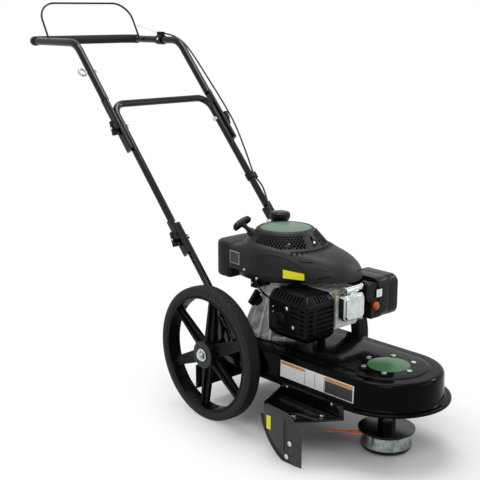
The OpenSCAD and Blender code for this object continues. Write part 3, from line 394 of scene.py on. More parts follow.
# a round or many-sided bar between two points in mm
def rod(name, start, end, radiusMm, sides=24, roundMm=0):
    clearSelection()
    a, b = Vector(start) / 1000, Vector(end) / 1000
    bpy.ops.mesh.primitive_cylinder_add(vertices=sides, radius=radiusMm / 1000, depth=(b - a).length,
                                        location=(a + b) / 2,
                                        rotation=(b - a).to_track_quat("Z", "Y").to_euler())
    piece = bpy.context.object
    piece.name = name
    freeze(piece)
    if roundMm:
        roundEdges(piece, roundMm, 2, 50)
    smoothBy(piece)
    return piece


def joined(name, pieces):
    clearSelection()
    for p in pieces:
        p.select_set(True)
    bpy.context.view_layer.objects.active = pieces[0]
    if len(pieces) > 1:
        bpy.ops.object.join()
    pieces[0].name = name
    return pieces[0]


# cuts one piece out of another and removes the cutter
def cutOut(piece, cutter):
    applyModifier(piece, "BOOLEAN", operation="DIFFERENCE", object=cutter, solver="EXACT")
    bpy.data.objects.remove(cutter)


# a round cord along a run of points in metres, as a curve
def cordCurve(name, run, radius, sides):
    data = bpy.data.curves.new(name, "CURVE")
    data.dimensions = "3D"
    data.bevel_depth = radius
    data.bevel_resolution = sides
    data.use_fill_caps = True
    spline = data.splines.new("POLY")
    spline.points.add(len(run) - 1)
    for point, place in zip(spline.points, run):
        point.co = (*place, 1)
    piece = bpy.data.objects.new(name, data)
    bpy.context.scene.collection.objects.link(piece)
    return piece


# a round bar along a run of points in mm, as a mesh
def tubeRun(name, points, radiusMm, smooth=True, sides=3, roundMm=0):
    run = [Vector(p) / 1000 for p in points]
    piece = cordCurve(name, smoothRun(run) if smooth else run, radiusMm / 1000, sides)
    activate(piece)
    bpy.ops.object.convert(target="MESH")
    piece = bpy.context.object
    mend(piece)
    if roundMm:
        roundEdges(piece, roundMm, 3, 60)
    smoothBy(piece, 50)
    return piece


# a grid of columns and rows whose points a function of (column, row) places, in mm
def loft(name, columns, rows, place):
    clearSelection()
    bpy.ops.mesh.primitive_grid_add(x_subdivisions=columns, y_subdivisions=rows, size=1)
    piece = bpy.context.object
    piece.name = name
    for v in piece.data.vertices:
        i, j = round((v.co.x + 0.5) * columns), round((v.co.y + 0.5) * rows)
        v.co = Vector(place(i % columns, j)) / 1000
    mend(piece)
    return piece


# wheels: tyre with shallow slanted sipes, the right one mirrored
tyreSet = {"centre": (202.5, 432, 178), "crown": 178, "camber": 0.0042, "bead": 154, "halfWidth": 21.5,
           "across": [-15.5, -13, -10, -6.5, -3, 0, 3, 6.5, 10, 13, 15.5],
           # radius, and distance in from the widest place
           "sidewall": [(154, 6), (154.6, 2.2), (156.4, 0.8), (159, 0.2), (162, 0), (167, 0.2), (171.5, 1.2),
                        (174.6, 3), (176.4, 4.5)],
           "lugs": 34, "per": 10, "sweep": 6.5, "shoulder": 17, "wallTop": 174, "treadHalf": 17.2,
           "treadLow": 170, "sipe": 1.6, "sipeSpan": (3, 15.5)}


def makeTyre(name, side):
    s = tyreSet
    wall = [(r, inset - s["halfWidth"]) for r, inset in s["sidewall"]]
    crown = [(s["crown"] - s["camber"] * a * a, a) for a in s["across"]]
    back = [(r, -h) for r, h in reversed(wall)]
    piece = turned(name, wall + crown + back, s["centre"], (1, 0, 0), s["lugs"] * s["per"])
    c = Vector(s["centre"]) / 1000
    mesh = piece.data

    # degrees by which a row slides round the wheel, so that the sipes lean into a chevron
    def leanAt(x):
        return min(abs(x), s["shoulder"]) / s["shoulder"] * s["sweep"]

    for v in mesh.vertices:
        p = v.co - c
        r = math.hypot(p.y, p.z) * 1000
        lean = leanAt(p.x * 1000)
        if r < s["wallTop"]:
            lean = s["sweep"] * max(0, (r - s["bead"]) / (s["wallTop"] - s["bead"]))
        v.co = c + Matrix.Rotation(math.radians(lean), 3, "X") @ p
    openMesh(piece, "FACE")
    bpy.ops.mesh.select_all(action="DESELECT")
    closeMesh()
    for finish in (finishes["tyre"], extras["tread"], extras["sipe"]):
        mesh.materials.append(finish)
    near, far = s["sipeSpan"]
    for f in mesh.polygons:
        p = f.center - c
        x, r = p.x * 1000, math.hypot(p.y, p.z) * 1000
        if abs(x) > s["treadHalf"] or r < s["treadLow"]:
            continue
        f.material_index = 1
        angle = math.degrees(math.atan2(p.z, p.y)) - leanAt(x)
        cell = (angle / 360 * s["lugs"] + (0 if x > 0 else 0.5)) % 1
        f.select = cell * s["per"] < 1 and near < abs(x) < far
    bpy.ops.object.mode_set(mode="EDIT")
    bpy.ops.mesh.extrude_region_shrink_fatten(TRANSFORM_OT_shrink_fatten={"value": -s["sipe"] / 1000})
    closeMesh()
    for f in mesh.polygons:
        if f.select:
            f.material_index = 2
    if side < 0:
        mesh.transform(Matrix.Scale(-1, 4, (1, 0, 0)))
    mend(piece)
    smoothBy(piece, 30)
    return piece


rimSet = {"barrelIn": 147, "ribs": 26, "ribHalf": (17, 0.6), "ribSpan": (-1.2, 1),
          "hubFace": [(15, 20), (15, 23.2), (19.5, 23.6), (21, 24.2), (32.5, 24.2), (35, 23.6), (36, 22),
                      (36, 18)]}


# thin cross ribs inside the barrel, as the mould leaves them
def makeRimRibs(name, centre):
    s = rimSet
    halfX, halfY = s["ribHalf"]
    low, high = (s["barrelIn"] + d for d in s["ribSpan"])
    ribs = []
    for i in range(s["ribs"]):
        rib = block("rib", (-halfX, -halfY, low), (halfX, halfY, high))
        ribs.append(placeMesh(rib, 360 * (i + 0.5) / s["ribs"], "X", centre))
    return joined(name, ribs)


for sideName, side in (("right", -1), ("left", 1)):
    wheel = sideName + "_wheel"
    x, y, z = tyreSet["centre"]
    centre = (side * x, y, z)
    settle(makeTyre(sideName + "TyreTread", side), wheel, "tyre", (sideName + "_tyre",))
    roundedCopy(sideName + "_rim", sideName + "SpokedRim", 1.0, finish=extras["rimBlack"])
    settle(makeRimRibs(sideName + "RimRibs", centre), wheel, "black_plastic")
    # hub face: flat ring round a shallow dish
    hub = turned(sideName + "HubRing", rimSet["hubFace"], centre, (side, 0, 0), 64)
    settle(hub, wheel, "black_plastic", finish=extras["hub"])
print("wheels ready")

# deck: a drawn shell, the same section carried round both ends
deckSet = {"back": 370, "front": 72, "rear": 48, "sides": 10, "edge": 132.6, "top": 212, "shoulder": 11,
           "panel": [(0, 214), (60, 214), (91.5, 214), (93.6, 213.7), (95.4, 212.7), (97.4, 212.1), (100, 212),
                     (112, 212)],
           "wall": [(133.4, 186), (134.2, 166), (134.9, 152.5), (135.4, 149.4), (136.8, 147.2), (139, 146.2),
                    (142, 146), (147.4, 146), (149.8, 145.6), (151.4, 144.4), (151.9, 142.6), (151.9, 140),
                    (151.4, 138.6), (150.4, 138.1), (149.4, 138.6), (149, 140), (149, 143), (139, 143),
                    (133, 144.4), (131.8, 150), (130, 200), (120, 209), (0, 211)]}


# radius and height along the raised panel, the shoulder, the wall with its rolled rim, and back inside
def deckSection():
    s = deckSet
    r = s["shoulder"]
    x, z = s["edge"] - r, s["top"] - r
    shoulder = [(x + r * math.sin(a), z + r * math.cos(a)) for a in (k * math.pi / 16 for k in range(9))]
    return s["panel"] + shoulder + s["wall"]


def makeDeck():
    s = deckSet
    spokes = [(0, math.pi + math.pi * k / s["front"]) for k in range(s["front"] + 1)]
    spokes += [(s["back"] * k / s["sides"], 0) for k in range(1, s["sides"])]
    spokes += [(s["back"], math.pi * k / s["rear"]) for k in range(s["rear"] + 1)]
    spokes += [(s["back"] * (1 - k / s["sides"]), math.pi) for k in range(1, s["sides"])]
    section = deckSection()

    def place(i, j):
        y, a = spokes[i]
        r, z = section[j]
        return (r * math.cos(a), y + r * math.sin(a), z)

    return loft("deckShellDrawn", len(spokes), len(section) - 1, place)


deck = makeDeck()
smoothBy(deck, 40)
settle(deck, "chassis", "deck_paint", ("deck_shell",))

# plain green disc on the deck, inside the bolt circle
deckBadge = turned("deckBadge", [(0, 215.2), (49.5, 215.2), (51.6, 214.8), (52, 213.6)], (0, 0, 0))
settle(deckBadge, "chassis", "deck_paint", finish=extras["badge"])
# bolts round the spindle: their heads, above the seat in metres, are brought down to half their height
headSet = {"seat": 0.2145, "share": 0.5}
deckBolts = roundedCopy("deck_bolts", "deckBoltHeads", 0.9)
for v in deckBolts.data.vertices:
    if v.co.z > headSet["seat"]:
        v.co.z = headSet["seat"] + (v.co.z - headSet["seat"]) * headSet["share"]

# label place on the right-hand deck wall: plain blocks, no lettering
labelSet = {"white": [(-8, 236, 153, 195, 0.25)],
            "amber": [(152, 234, 186.5, 193, 0.5), (-5, 84, 185.5, 193, 0.5)],
            "grey": [(-5, 84, 155, 184.5, 0.5), (117, 118, 156, 192, 0.5), (150, 151, 156, 192, 0.5),
                     (86, 87, 156, 192, 0.5)]}
wallSet = {"x": 132.9, "height": 201, "slope": 0.0405, "sunk": 0.8}


# a thin plate that follows the lean of the deck's wall
def wallPatch(name, y0, y1, z0, z1, lift):
    s = wallSet
    piece = block(name, (-1, y0, z0), (0, y1, z1))
    for v in piece.data.vertices:
        lean = (s["height"] - v.co.z * 1000) * s["slope"]
        v.co.x = (v.co.x * 1000 + s["sunk"] - s["x"] - lean - lift) / 1000
    return piece


for colour, patches in labelSet.items():
    label = joined("sideLabel" + colour.capitalize(), [wallPatch("patch", *p) for p in patches])
    settle(label, "chassis", "deck_paint", finish=extras[colour])
print("deck ready")

# running gear, guard and bolts: CAD forms with eased edges, in mm
easedSet = {"axle_brackets": ("axleBracketPlates", 1.2), "frame_bolts": ("frameBoltHeads", 0.7),
            "guard_bracket": ("guardBracketBent", 1.0), "debris_shield": ("debrisShieldSheet", 1.0),
            "rubber_flap": ("rubberFlapCut", 0.8)}
eased = {node: roundedCopy(node, *settings) for node, settings in easedSet.items()}
# frame bolts above this height, in metres, are painted with the frame
paintedFrom = 0.22
frameBolts = eased["frame_bolts"].data
frameBolts.materials.append(finishes["frame_paint"])
for f in frameBolts.polygons:
    if f.center.z > paintedFrom:
        f.material_index = 1
shieldLabel = block("shieldLabel", (-253.5, 146, 72), (-252.5, 160, 106))
settle(shieldLabel, "chassis", "guard_paint", finish=extras["yellow"])

# rear skirt hung from the deck's rear rim, seen through the wheel
skirtSet = {"half": 174, "low": 46, "high": 138.5, "y": 521, "sheet": 3, "flange": 470, "corner": 26, "cut": 50,
            "round": 0.8}


# a plate that narrows towards its top, a full-width strip below its corners, and a flange under the rim
def makeRearSkirt():
    s = skirtSet
    half, narrow, back = s["half"], s["half"] - s["cut"], s["y"] + s["sheet"]
    plate = block("plate", (-half, s["y"], s["low"]), (half, back, s["high"]))
    for v in plate.data.vertices:
        if v.co.z * 1000 > s["high"] - 1:
            v.co.x *= narrow / half
    strip = block("strip", (-half, s["y"], s["low"]), (half, back, s["high"] - s["corner"]))
    flange = block("flange", (-narrow, s["flange"], s["high"] - s["sheet"]), (narrow, back, s["high"]))
    piece = joined("rearSkirtPlate", [plate, flange, strip])
    roundEdges(piece, s["round"], 2)
    smoothBy(piece)
    return piece


settle(makeRearSkirt(), "chassis", "frame_paint")

# engine castings and pressings: name, rounding in mm, and where they differ its segments and least angle
castSet = {"crankcase": ("crankcaseCast", 1.6, 2, 35), "cylinder_head": ("cylinderHeadCast", 0.8, 1),
           "valve_cover": ("valveCoverPressed", 3.2, 4), "plug_shield": ("plugShieldRolled", 0.8),
           "carburettor": ("carburettorBody", 1.5)}
for node, settings in castSet.items():
    roundedCopy(node, *settings)

# webs, bosses and bolts on the crankcase's seen side; the last boss has no bolt
caseSet = {"axis": (0, 360), "webs": [188, 206, 226, 244, 150, 168], "webHalf": 2.2, "foot": 228, "top": 322,
           "reach": 116, "wall": 75, "sunk": 6, "round": 1.2,
           "bosses": [(197, 330), (216, 352), (235, 318), (180, 300)], "bossSpan": (66, 84), "bossRadius": 8,
           "boltSpan": (83, 87.5), "boltRadius": 5}


# a bar that points out from the crank axis, at an angle and a height
def caseRod(name, angle, z, span, radius, sides, roundMm=0):
    d = Vector((math.cos(math.radians(angle)), math.sin(math.radians(angle)), 0))
    p = Vector((*caseSet["axis"], z))
    return rod(name, p + d * span[0], p + d * span[1], radius, sides, roundMm)


def makeCaseWebs():
    s = caseSet
    webs = []
    for angle in s["webs"]:
        web = block("web", (s["wall"] - s["sunk"], -s["webHalf"], s["foot"] - s["sunk"]),
                    (s["reach"], s["webHalf"], s["top"]))
        # the outer edge runs in to the wall at the top
        for v in web.data.vertices:
            if v.co.z * 1000 > s["top"] - 1 and v.co.x * 1000 > s["reach"] - 1:
                v.co.x = (s["wall"] + 1) / 1000
        webs.append(placeMesh(web, angle, "Z", (*s["axis"], 0)))
    webs += [caseRod("boss", angle, z, s["bossSpan"], s["bossRadius"], 16) for angle, z in s["bosses"]]
    piece = joined("crankcaseWebs", webs)
    roundEdges(piece, s["round"], 2)
    smoothBy(piece)
    return piece


settle(makeCaseWebs(), "chassis", "cast_alu")
caseBolts = [caseRod("bolt", angle, z, caseSet["boltSpan"], caseSet["boltRadius"], 6, 0.6)
             for angle, z in caseSet["bosses"][:-1]]
settle(joined("crankcaseBolts", caseBolts), "chassis", "zinc")
print("engine castings ready")

# muffler guard: rounded box with slots on its chamfers and faces, and a bulge over the outlet
guardSet = {"low": (-132, 148, 248), "high": (-33, 286, 368), "chamfer": 18, "round": 6, "slotHalf": 2.4,
            # slots on the right-hand fold and the front one, from the right front top corner
            "folds": [{"count": 9, "half": (10, 2.6, 4), "turn": (-45, "Y"), "first": (8.5, 30, -9),
                       "step": (0, 11.4, 0)},
                      {"count": 5, "half": (2.4, 9, 4), "turn": (45, "X"), "first": (38, 8.5, -8.5),
                       "step": (9.5, 0, 0)}],
            # level slots on the faces: two corners in x and y from the same corner
            "rows": [{"count": 7, "drop": 33, "step": 11.6,
                      "spans": [((34, -2), (91, 5)), ((-2, 10), (5, 25)), ((6, -2), (20, 5))]},
                     {"count": 3, "drop": 30, "step": 12, "spans": [((-2, 32), (5, 58))]}],
            "bulge": [(0, 6), (9, 5.8), (14, 4.4), (17, 1.2), (18.5, -2), (18.5, -6)],
            "bulgeAt": (-132, 241, 300)}


def guardSlots():
    s = guardSet
    corner = (s["low"][0], s["low"][1], s["high"][2])
    slots = []
    for fold in s["folds"]:
        for i in range(fold["count"]):
            cut = block("slot", [-v for v in fold["half"]], fold["half"])
            at = [c + first + step * i for c, first, step in zip(corner, fold["first"], fold["step"])]
            slots.append(placeMesh(cut, *fold["turn"], at))
    x, y, top = corner
    for row in s["rows"]:
        for i in range(row["count"]):
            z = top - row["drop"] - i * row["step"]
            low, high = z - s["slotHalf"], z + s["slotHalf"]
            slots += [block("slot", (x + ax, y + ay, low), (x + bx, y + by, high))
                      for (ax, ay), (bx, by) in row["spans"]]
    return joined("slots", slots)


def makeMufflerGuard():
    s = guardSet
    piece = block("mufflerGuardShell", s["low"], s["high"])

    # level edges on the right and the front are folded in
    def folded(a, b):
        right, front = (max(abs(p[k] - s["low"][k]) for p in (a, b)) < 1 for k in (0, 1))
        return abs(a.z - b.z) < 1 and (right or front)

    bevelWhere(piece, folded, s["chamfer"], 1)
    roundEdges(piece, s["round"], 4, 25)
    cutOut(piece, guardSlots())
    bulge = turned("bulge", s["bulge"], s["bulgeAt"], (-1, 0, 0), 48)
    return joined("mufflerGuardShell", [piece, bulge])


mufflerGuard = makeMufflerGuard()
smoothBy(mufflerGuard, 30)
settle(mufflerGuard, "chassis", "black_plastic", ("muffler_guard",), finish=extras["guardBlack"])
# two hexagon heads and two small round ones on the guard's right face
screwSet = {"hexagon": {"at": [(217, 332), (195, 289)], "tip": -135.4, "radius": 5.4, "sides": 6, "round": 0.8},
            "round": {"at": [(266, 328), (266, 315)], "tip": -134, "radius": 2.4, "sides": 12, "round": 0.4}}
screwRoot = -130
screws = [rod("screw", (screwRoot, y, z), (s["tip"], y, z), s["radius"], s["sides"], s["round"])
          for s in screwSet.values() for y, z in s["at"]]
settle(joined("mufflerGuardScrews", screws), "chassis", "zinc")
gasket = block("gasketStrip", (-30, 152, 318), (-13, 158, 370), 1)
settle(gasket, "chassis", "muffler_steel", finish=extras["khaki"])
print("muffler guard ready")

# blower shroud: side wall and swept dome, lofted round the crank axis
shroudSet = {"axis": (0, 360), "circles": [(0, 360, 126), (-72, 488, 38), (72, 488, 38), (30, 222, 80)],
             "topRadius": 113, "topHeight": 452, "noseLow": 387, "sideLow": 390, "noseWall": 4,
             "rearShoulder": 440, "columns": 192, "rows": 30, "under": 9, "tankFront": 456, "wall": 2.6,
             "rise": 0.9, "bulge": 0.92, "leastWall": 1.5, "lip": 1.2,
             # the top edge's climb on the right: degrees at the crank axis
             "climb": 15, "climbIn": 0.93, "climbStart": (136, 166), "climbEnd": (190, 248),
             # degrees from the nose over which foot, shoulder and waist change, and the wall is set back
             "footSpan": (20, 55), "shoulderSpan": (24, 96), "shoulderEase": 0.9, "waist": 2,
             "waistSpan": (40, 90), "step": 4.4, "stepStart": (19, 27), "stepEnd": (62, 95),
             # the crease's height at degrees from the nose
             "crease": [(0, 388), (20, 388), (22.5, 401), (26, 414), (31, 425.5), (38, 434.5), (46, 441),
                        (54, 445), (61, 447), (71, 444), (83, 436), (100, 430), (180, 430)]}


# the taut outline round some circles, seen from a centre
def tautOutline(circles, centre):
    pts = set()
    for x, y, r in circles:
        for k in range(96):
            a = 2 * math.pi * k / 96
            pts.add((x + r * math.cos(a) - centre[0], y + r * math.sin(a) - centre[1]))
    pts = sorted(pts)
    outline = []
    for run in (pts, pts[::-1]):
        part = []
        for p in run:
            while len(part) > 1 and ((part[-1][0] - part[-2][0]) * (p[1] - part[-2][1])
                                     - (part[-1][1] - part[-2][1]) * (p[0] - part[-2][0])) <= 0:
                part.pop()
            part.append(p)
        outline += part[:-1]
    return outline


# distance from the centre to an outline in one direction
def reachAlong(outline, angle):
    d = (math.cos(angle), math.sin(angle))
    for (ax, ay), (bx, by) in zip(outline, outline[1:] + outline[:1]):
        den = d[0] * (by - ay) - d[1] * (bx - ax)
        if abs(den) < 1e-9:
            continue
        t = (ax * (by - ay) - ay * (bx - ax)) / den
        u = (ax * d[1] - ay * d[0]) / den
        if t > 0 and -1e-6 <= u <= 1 + 1e-6:
            return t
    return 0


# degrees away from the nose, as seen from the crank axis
def fromNose(angle):
    return math.degrees(abs((angle - 1.5 * math.pi + math.pi) % (2 * math.pi) - math.pi))


# height of the moulded crease at some degrees from the nose
def creaseHeight(toNose):
    rows = shroudSet["crease"]
    for (a0, z0), (a1, z1) in zip(rows, rows[1:]):
        if toNose <= a1:
            return z0 + (z1 - z0) * (toNose - a0) / (a1 - a0)
    return rows[-1][1]


# foot, shoulder and reach of the shroud's wall in one direction
def shroudLevels(angle, reach):
    s = shroudSet
    toNose = fromNose(angle)
    low = s["noseLow"] + (s["sideLow"] - s["noseLow"]) * smoothStep(*s["footSpan"], toNose)
    base = low + s["noseWall"]
    shoulder = base + (s["rearShoulder"] - base) * smoothStep(*s["shoulderSpan"], toNose) ** s["shoulderEase"]
    return low, shoulder, reach - s["waist"] * smoothStep(*s["waistSpan"], toNose)


shroudOutline = tautOutline(shroudSet["circles"], shroudSet["axis"])


# height and radius of the dome's top edge: it climbs the cone at the right-hand side
def topEdge(angle):
    s = shroudSet
    a = math.degrees(angle) % 360
    climb = s["climb"] * smoothStep(*s["climbStart"], a) * (1 - smoothStep(*s["climbEnd"], a))
    return s["topHeight"] + climb, s["topRadius"] - s["climbIn"] * climb


def makeShroud():
    s = shroudSet
    n, m, under = s["columns"], s["rows"], s["under"]
    cx, cy = s["axis"]
    reaches = [reachAlong(shroudOutline, 2 * math.pi * i / n) for i in range(n)]

    # reach of the dome at a height: upright wall to the shoulder, then an easy curve to the top
    def reachAt(i, z):
        angle = 2 * math.pi * i / n
        low, shoulder, outer = shroudLevels(angle, reaches[i])
        if z <= shoulder:
            return outer
        top, inner = topEdge(angle)
        q = (max(0, top - z) / (top - shoulder)) ** (1 / s["rise"])
        return inner + (outer - inner) * math.sqrt(max(0, 1 - (1 - q) ** 2)) ** s["bulge"]

    # below the crease the wall is set back; above it the dome runs on to the recoil cover
    def place(i, j):
        angle = 2 * math.pi * i / n
        toNose = fromNose(angle)
        low = shroudLevels(angle, reaches[i])[0]
        crease = max(low + s["leastWall"], creaseHeight(toNose))
        if j <= under:
            depth = s["step"] * smoothStep(*s["stepStart"], toNose) * (1 - smoothStep(*s["stepEnd"], toNose))
            z = low + (crease - low) * j / under
            r = reachAt(i, z) - depth
        else:
            u = (j - under - 1) / (m - under - 1)
            foot = crease + s["lip"]
            z = foot + (topEdge(angle)[0] - foot) * math.sin(u * math.pi / 2)
            r = reachAt(i, z)
        return (cx + r * math.cos(angle), cy + r * math.sin(angle), z)

    piece = loft("blowerShroudDome", n, m, place)
    cutBehind(piece, s["tankFront"])
    applyModifier(piece, "SOLIDIFY", thickness=s["wall"] / 1000, offset=-1)
    return piece


shroud = makeShroud()
smoothBy(shroud, 32)
settle(shroud, "chassis", "shroud_plastic", ("blower_shroud",))

# louvres: dark strips of painted shade that follow the shroud's top, round the front of the recoil cover
louvreSet = {"inner": 112.4, "outer": 125, "short": 117, "half": 2.4, "deep": 2, "proud": 0.35, "drop": 5,
             "first": -126.8, "step": 6.4, "count": 18, "cuts": 5}


# height of the dome at an angle and a radius
def domeHeight(angle, r):
    s = shroudSet
    low, shoulder, outer = shroudLevels(angle, reachAlong(shroudOutline, angle % (2 * math.pi)))
    top, inner = topEdge(angle)
    k = min(1, max(0, (r - inner) / (outer - inner))) ** (1 / s["bulge"])
    return top - (top - shoulder) * (1 - math.sqrt(1 - k * k)) ** s["rise"]


def makeLouvre(turn):
    s = louvreSet
    angle = math.radians(turn)
    # on the steep sides the strip stops where the dome has dropped a little
    lowest = shroudSet["topHeight"] - s["drop"]
    reaches = [r for r in range(s["short"], s["outer"] + 1) if domeHeight(angle, r) > lowest]
    reach = max([s["short"]] + reaches)
    piece = block("louvre", (s["inner"], -s["half"], -s["deep"]), (reach, s["half"], s["proud"]))
    openMesh(piece)
    bpy.ops.mesh.subdivide(number_cuts=s["cuts"])
    closeMesh()
    for v in piece.data.vertices:
        v.co.z += domeHeight(angle, v.co.x * 1000) / 1000
    return placeMesh(piece, turn, "Z", (*shroudSet["axis"], 0))


louvres = [makeLouvre(louvreSet["first"] + i * louvreSet["step"]) for i in range(louvreSet["count"])]
settle(joined("shroudLouvres", louvres), "chassis", "shroud_plastic", finish=extras["paintedSlotShade"])

# moulded grooves on the nose, drawn as thin dark lines of painted shade: angle and radius of each one's two
# ends
grooveSet = {"runs": [(-120.3, 132.2, -106.7, 150.9), (-106, 171.1, -98.2, 193.4), (-107, 160, -99.4, 184),
                      (-76.5, 215.9, -67.7, 212.3)], "width": [1.3, 1.5, 0.7, 1.0], "steps": 8, "sunk": 0.4}


def makeGroove(run, width):
    s = grooveSet
    n = s["steps"]
    cx, cy = shroudSet["axis"]
    points = []
    for k in range(n + 1):
        a = math.radians(run[0] + (run[2] - run[0]) * k / n)
        r = run[1] + (run[3] - run[1]) * k / n
        points.append((cx + r * math.cos(a), cy + r * math.sin(a), domeHeight(a, r) - s["sunk"]))
    return tubeRun("groove", points, width, sides=1)


grooves = [makeGroove(run, width) for run, width in zip(grooveSet["runs"], grooveSet["width"])]
settle(joined("shroudGrooves", grooves), "chassis", "shroud_plastic", finish=extras["paintedSlotShade"])

# under the shroud: the fan housing's dark flange, the governor bracket and their bolts; the black flange ring
# is partly a dark sheet of painted shade, hiding the crankcase's pale top where the shroud's shadow falls
housingSet = {"ring": [(77, 371), (100, 373), (118, 376), (124.2, 377.4), (124.8, 379), (124.8, 388.4),
                       (123.6, 389.6), (77, 389.6), (77, 371)], "ringEnd": 452,
              "bracket": [(-114, 350, 352), (-86, 372, 380)], "foot": [(-104, 326, 362), (-84, 352, 372)],
              "lever": [(-110, 352, 372), (-114, 338, 358), (-104, 328, 340), (-90, 324, 328)],
              "leverRadius": 2.4, "bolts": [(-119, 384, 397), (-121, 336, 383), (-114, 361, 366)],
              "boltSpan": (2, -5.5), "boltRadius": 4.2}


def makeHousing():
    s = housingSet
    ring = turned("fanHousingFlange", s["ring"], (*shroudSet["axis"], 0))
    cutBehind(ring, s["ringEnd"], fill=True)
    smoothBy(ring)
    bracket = block("bracket", *s["bracket"], 3)
    foot = block("foot", *s["foot"], 2)
    lever = tubeRun("lever", s["lever"], s["leverRadius"])
    return joined("fanHousingFlange", [ring, bracket, foot, lever])


settle(makeHousing(), "chassis", "black_plastic")
inner, outer = housingSet["boltSpan"]
housingBolts = [rod("bolt", (x + inner, y, z), (x + outer, y, z), housingSet["boltRadius"], 6, 0.6)
                for x, y, z in housingSet["bolts"]]
settle(joined("fanHousingBolts", housingBolts), "chassis", "zinc")

# fuel tank: the rear of the engine, flush with the shroud
tankSet = {"low": (-109, 456.6, 356), "high": (109, 526, 453), "corner": 34, "edge": 10, "neckAt": (84, 468),
           "neck": [(23, 440), (23, 456), (20, 458), (20, 497.4), (17, 497.4), (17, 470), (0, 470)]}


def makeTank():
    s = tankSet
    piece = block("fuelTankBody", s["low"], s["high"])

    # the two upright edges at the rear are rounded wide
    def rearCorner(a, b):
        return abs(a.x - b.x) < 1 and min(a.y, b.y) > s["high"][1] - 1

    bevelWhere(piece, rearCorner, s["corner"], 10)
    roundEdges(piece, s["edge"], 4, 50)
    neck = turned("fuelNeck", s["neck"], (*s["neckAt"], 0), steps=48)
    return joined("fuelTankBody", [piece, neck])


tank = makeTank()
smoothBy(tank, 35)
settle(tank, "chassis", "shroud_plastic", ("fuel_tank",))

# label places on the shroud: one plain yellow, one plain dark with a pale edge
yellowSet = {"angles": (-137, -115.5), "lows": (391, 389), "highs": (413, 406), "lift": 0.8, "columns": 16}
squareSet = {"x": -118.8, "y": 404.5, "slope": 0.112, "edge": (408, 450, 404, 437, 0.2),
             "face": (410.2, 447.8, 406.2, 434.8, 0.5)}


# a plate on the set-back wall: its lower edge runs one way, its upper edge back
def makeYellowPatch():
    s = yellowSet
    n = s["columns"]

    def place(i, j):
        k = min(i, n - 1 - i) / (n / 2 - 1)
        start, end = s["lows"] if i < n / 2 else s["highs"]
        angle = math.radians(s["angles"][0] + (s["angles"][1] - s["angles"][0]) * k)
        wall = shroudLevels(angle, reachAlong(shroudOutline, angle % (2 * math.pi)))[2]
        r = wall - shroudSet["step"] + s["lift"] * j
        cx, cy = shroudSet["axis"]
        return (cx + r * math.cos(angle), cy + r * math.sin(angle), start + (end - start) * k)

    piece = loft("yellowLabelPlace", n, 1, place)
    closeEnds(piece)
    return piece


# a plate that follows the slant of the shroud's wall beside the tank
def tankPatch(name, y0, y1, z0, z1, lift):
    s = squareSet
    piece = block(name, (-1, y0, z0), (0.6, y1, z1))
    for v in piece.data.vertices:
        v.co.x += (s["x"] + (v.co.y * 1000 - s["y"]) * s["slope"] - lift) / 1000
    return piece


settle(makeYellowPatch(), "chassis", "shroud_plastic", finish=extras["yellow"])
squareEdge = tankPatch("squareLabelEdge", *squareSet["edge"])
settle(squareEdge, "chassis", "shroud_plastic", finish=extras["pale"])
squareFace = tankPatch("squareLabelPlace", *squareSet["face"])
settle(squareFace, "chassis", "shroud_plastic", finish=extras["grey"])

# fuel cap: fluted side, domed top
capSet = {"low": 484.2, "flutes": 18, "perFlute": 6, "fluteDepth": 1.3, "fluteFrom": 25.5, "fluteSpan": (7, 23),
          "profile": [(20.4, 0), (24, 0), (25, 3), (25.4, 6), (27.8, 8), (28.4, 11), (28.4, 18), (27.2, 22),
                      (23.5, 24.4), (14, 25.5), (0, 25.7), (0, 14.4), (20.4, 14.4), (20.4, 0)]}


def makeCap():
    s = capSet
    x, y = tankSet["neckAt"]
    low, high = s["fluteSpan"]
    piece = turned("fuelCapFluted", s["profile"], (x, y, s["low"]), steps=s["flutes"] * s["perFlute"])
    for v in piece.data.vertices:
        p = v.co * 1000 - Vector((x, y, s["low"]))
        r = math.hypot(p.x, p.y)
        if r > s["fluteFrom"] and low < p.z < high:
            wave = max(0, math.cos(s["flutes"] * math.atan2(p.y, p.x))) ** 2
            k = (r - s["fluteDepth"] * wave) / r
            v.co.x, v.co.y = (x + p.x * k) / 1000, (y + p.y * k) / 1000
    return piece


settle(makeCap(), "fuel_cap", "black_plastic", ("fuel_cap",))
print("shroud and tank ready")

# recoil cover: low cone with two grilles of diamond holes, a window and upright ribs
recoilSet = {"centre": (0, 360), "base": 452,
             "profile": [(101, 0), (112, 0), (112, 3.4), (110, 5), (106.4, 6.4), (79, 37.6), (76.4, 41.4),
                         (72.4, 44.2), (69, 44.8), (68, 43.4), (0, 43.4), (0, 41), (68, 41), (72, 40), (75, 37),
                         (101, 8), (101, 0)],
             "coneFoot": (106.4, 6.4), "coneTop": (79, 37.6),
             "grilles": [(172, 258), (-28, 100)], "perTurn": 64, "rows": 6, "firstRow": 10.6, "rowStep": 4.7,
             "hole": 2.75, "holeAt": 92, "holeDeep": 9, "holeTall": 1.15, "holeLean": -41,
             "window": {"low": (70, -9, 9), "high": (120, 9, 33), "narrow": 0.25, "angle": -86},
             "ribs": {"count": 6, "first": -70, "step": 6.4, "half": 1.4, "foot": 5, "top": 39,
                      "outer": (110.6, 0.87), "inner": (90, 0.5)},
             "badge": [(0, 44.9), (60, 44.6), (66, 44.2), (67.6, 43.6), (67.6, 43)],
             "boss": [(16.5, 271.0, 466.2), (11.0, 265.6, 468.0)], "bossRadius": 9,
             "screw": [(12.9, 267.4, 467.4), (7.3, 262.0, 469.2)], "screwRadius": 3.6}
recoilBase = (*recoilSet["centre"], recoilSet["base"])


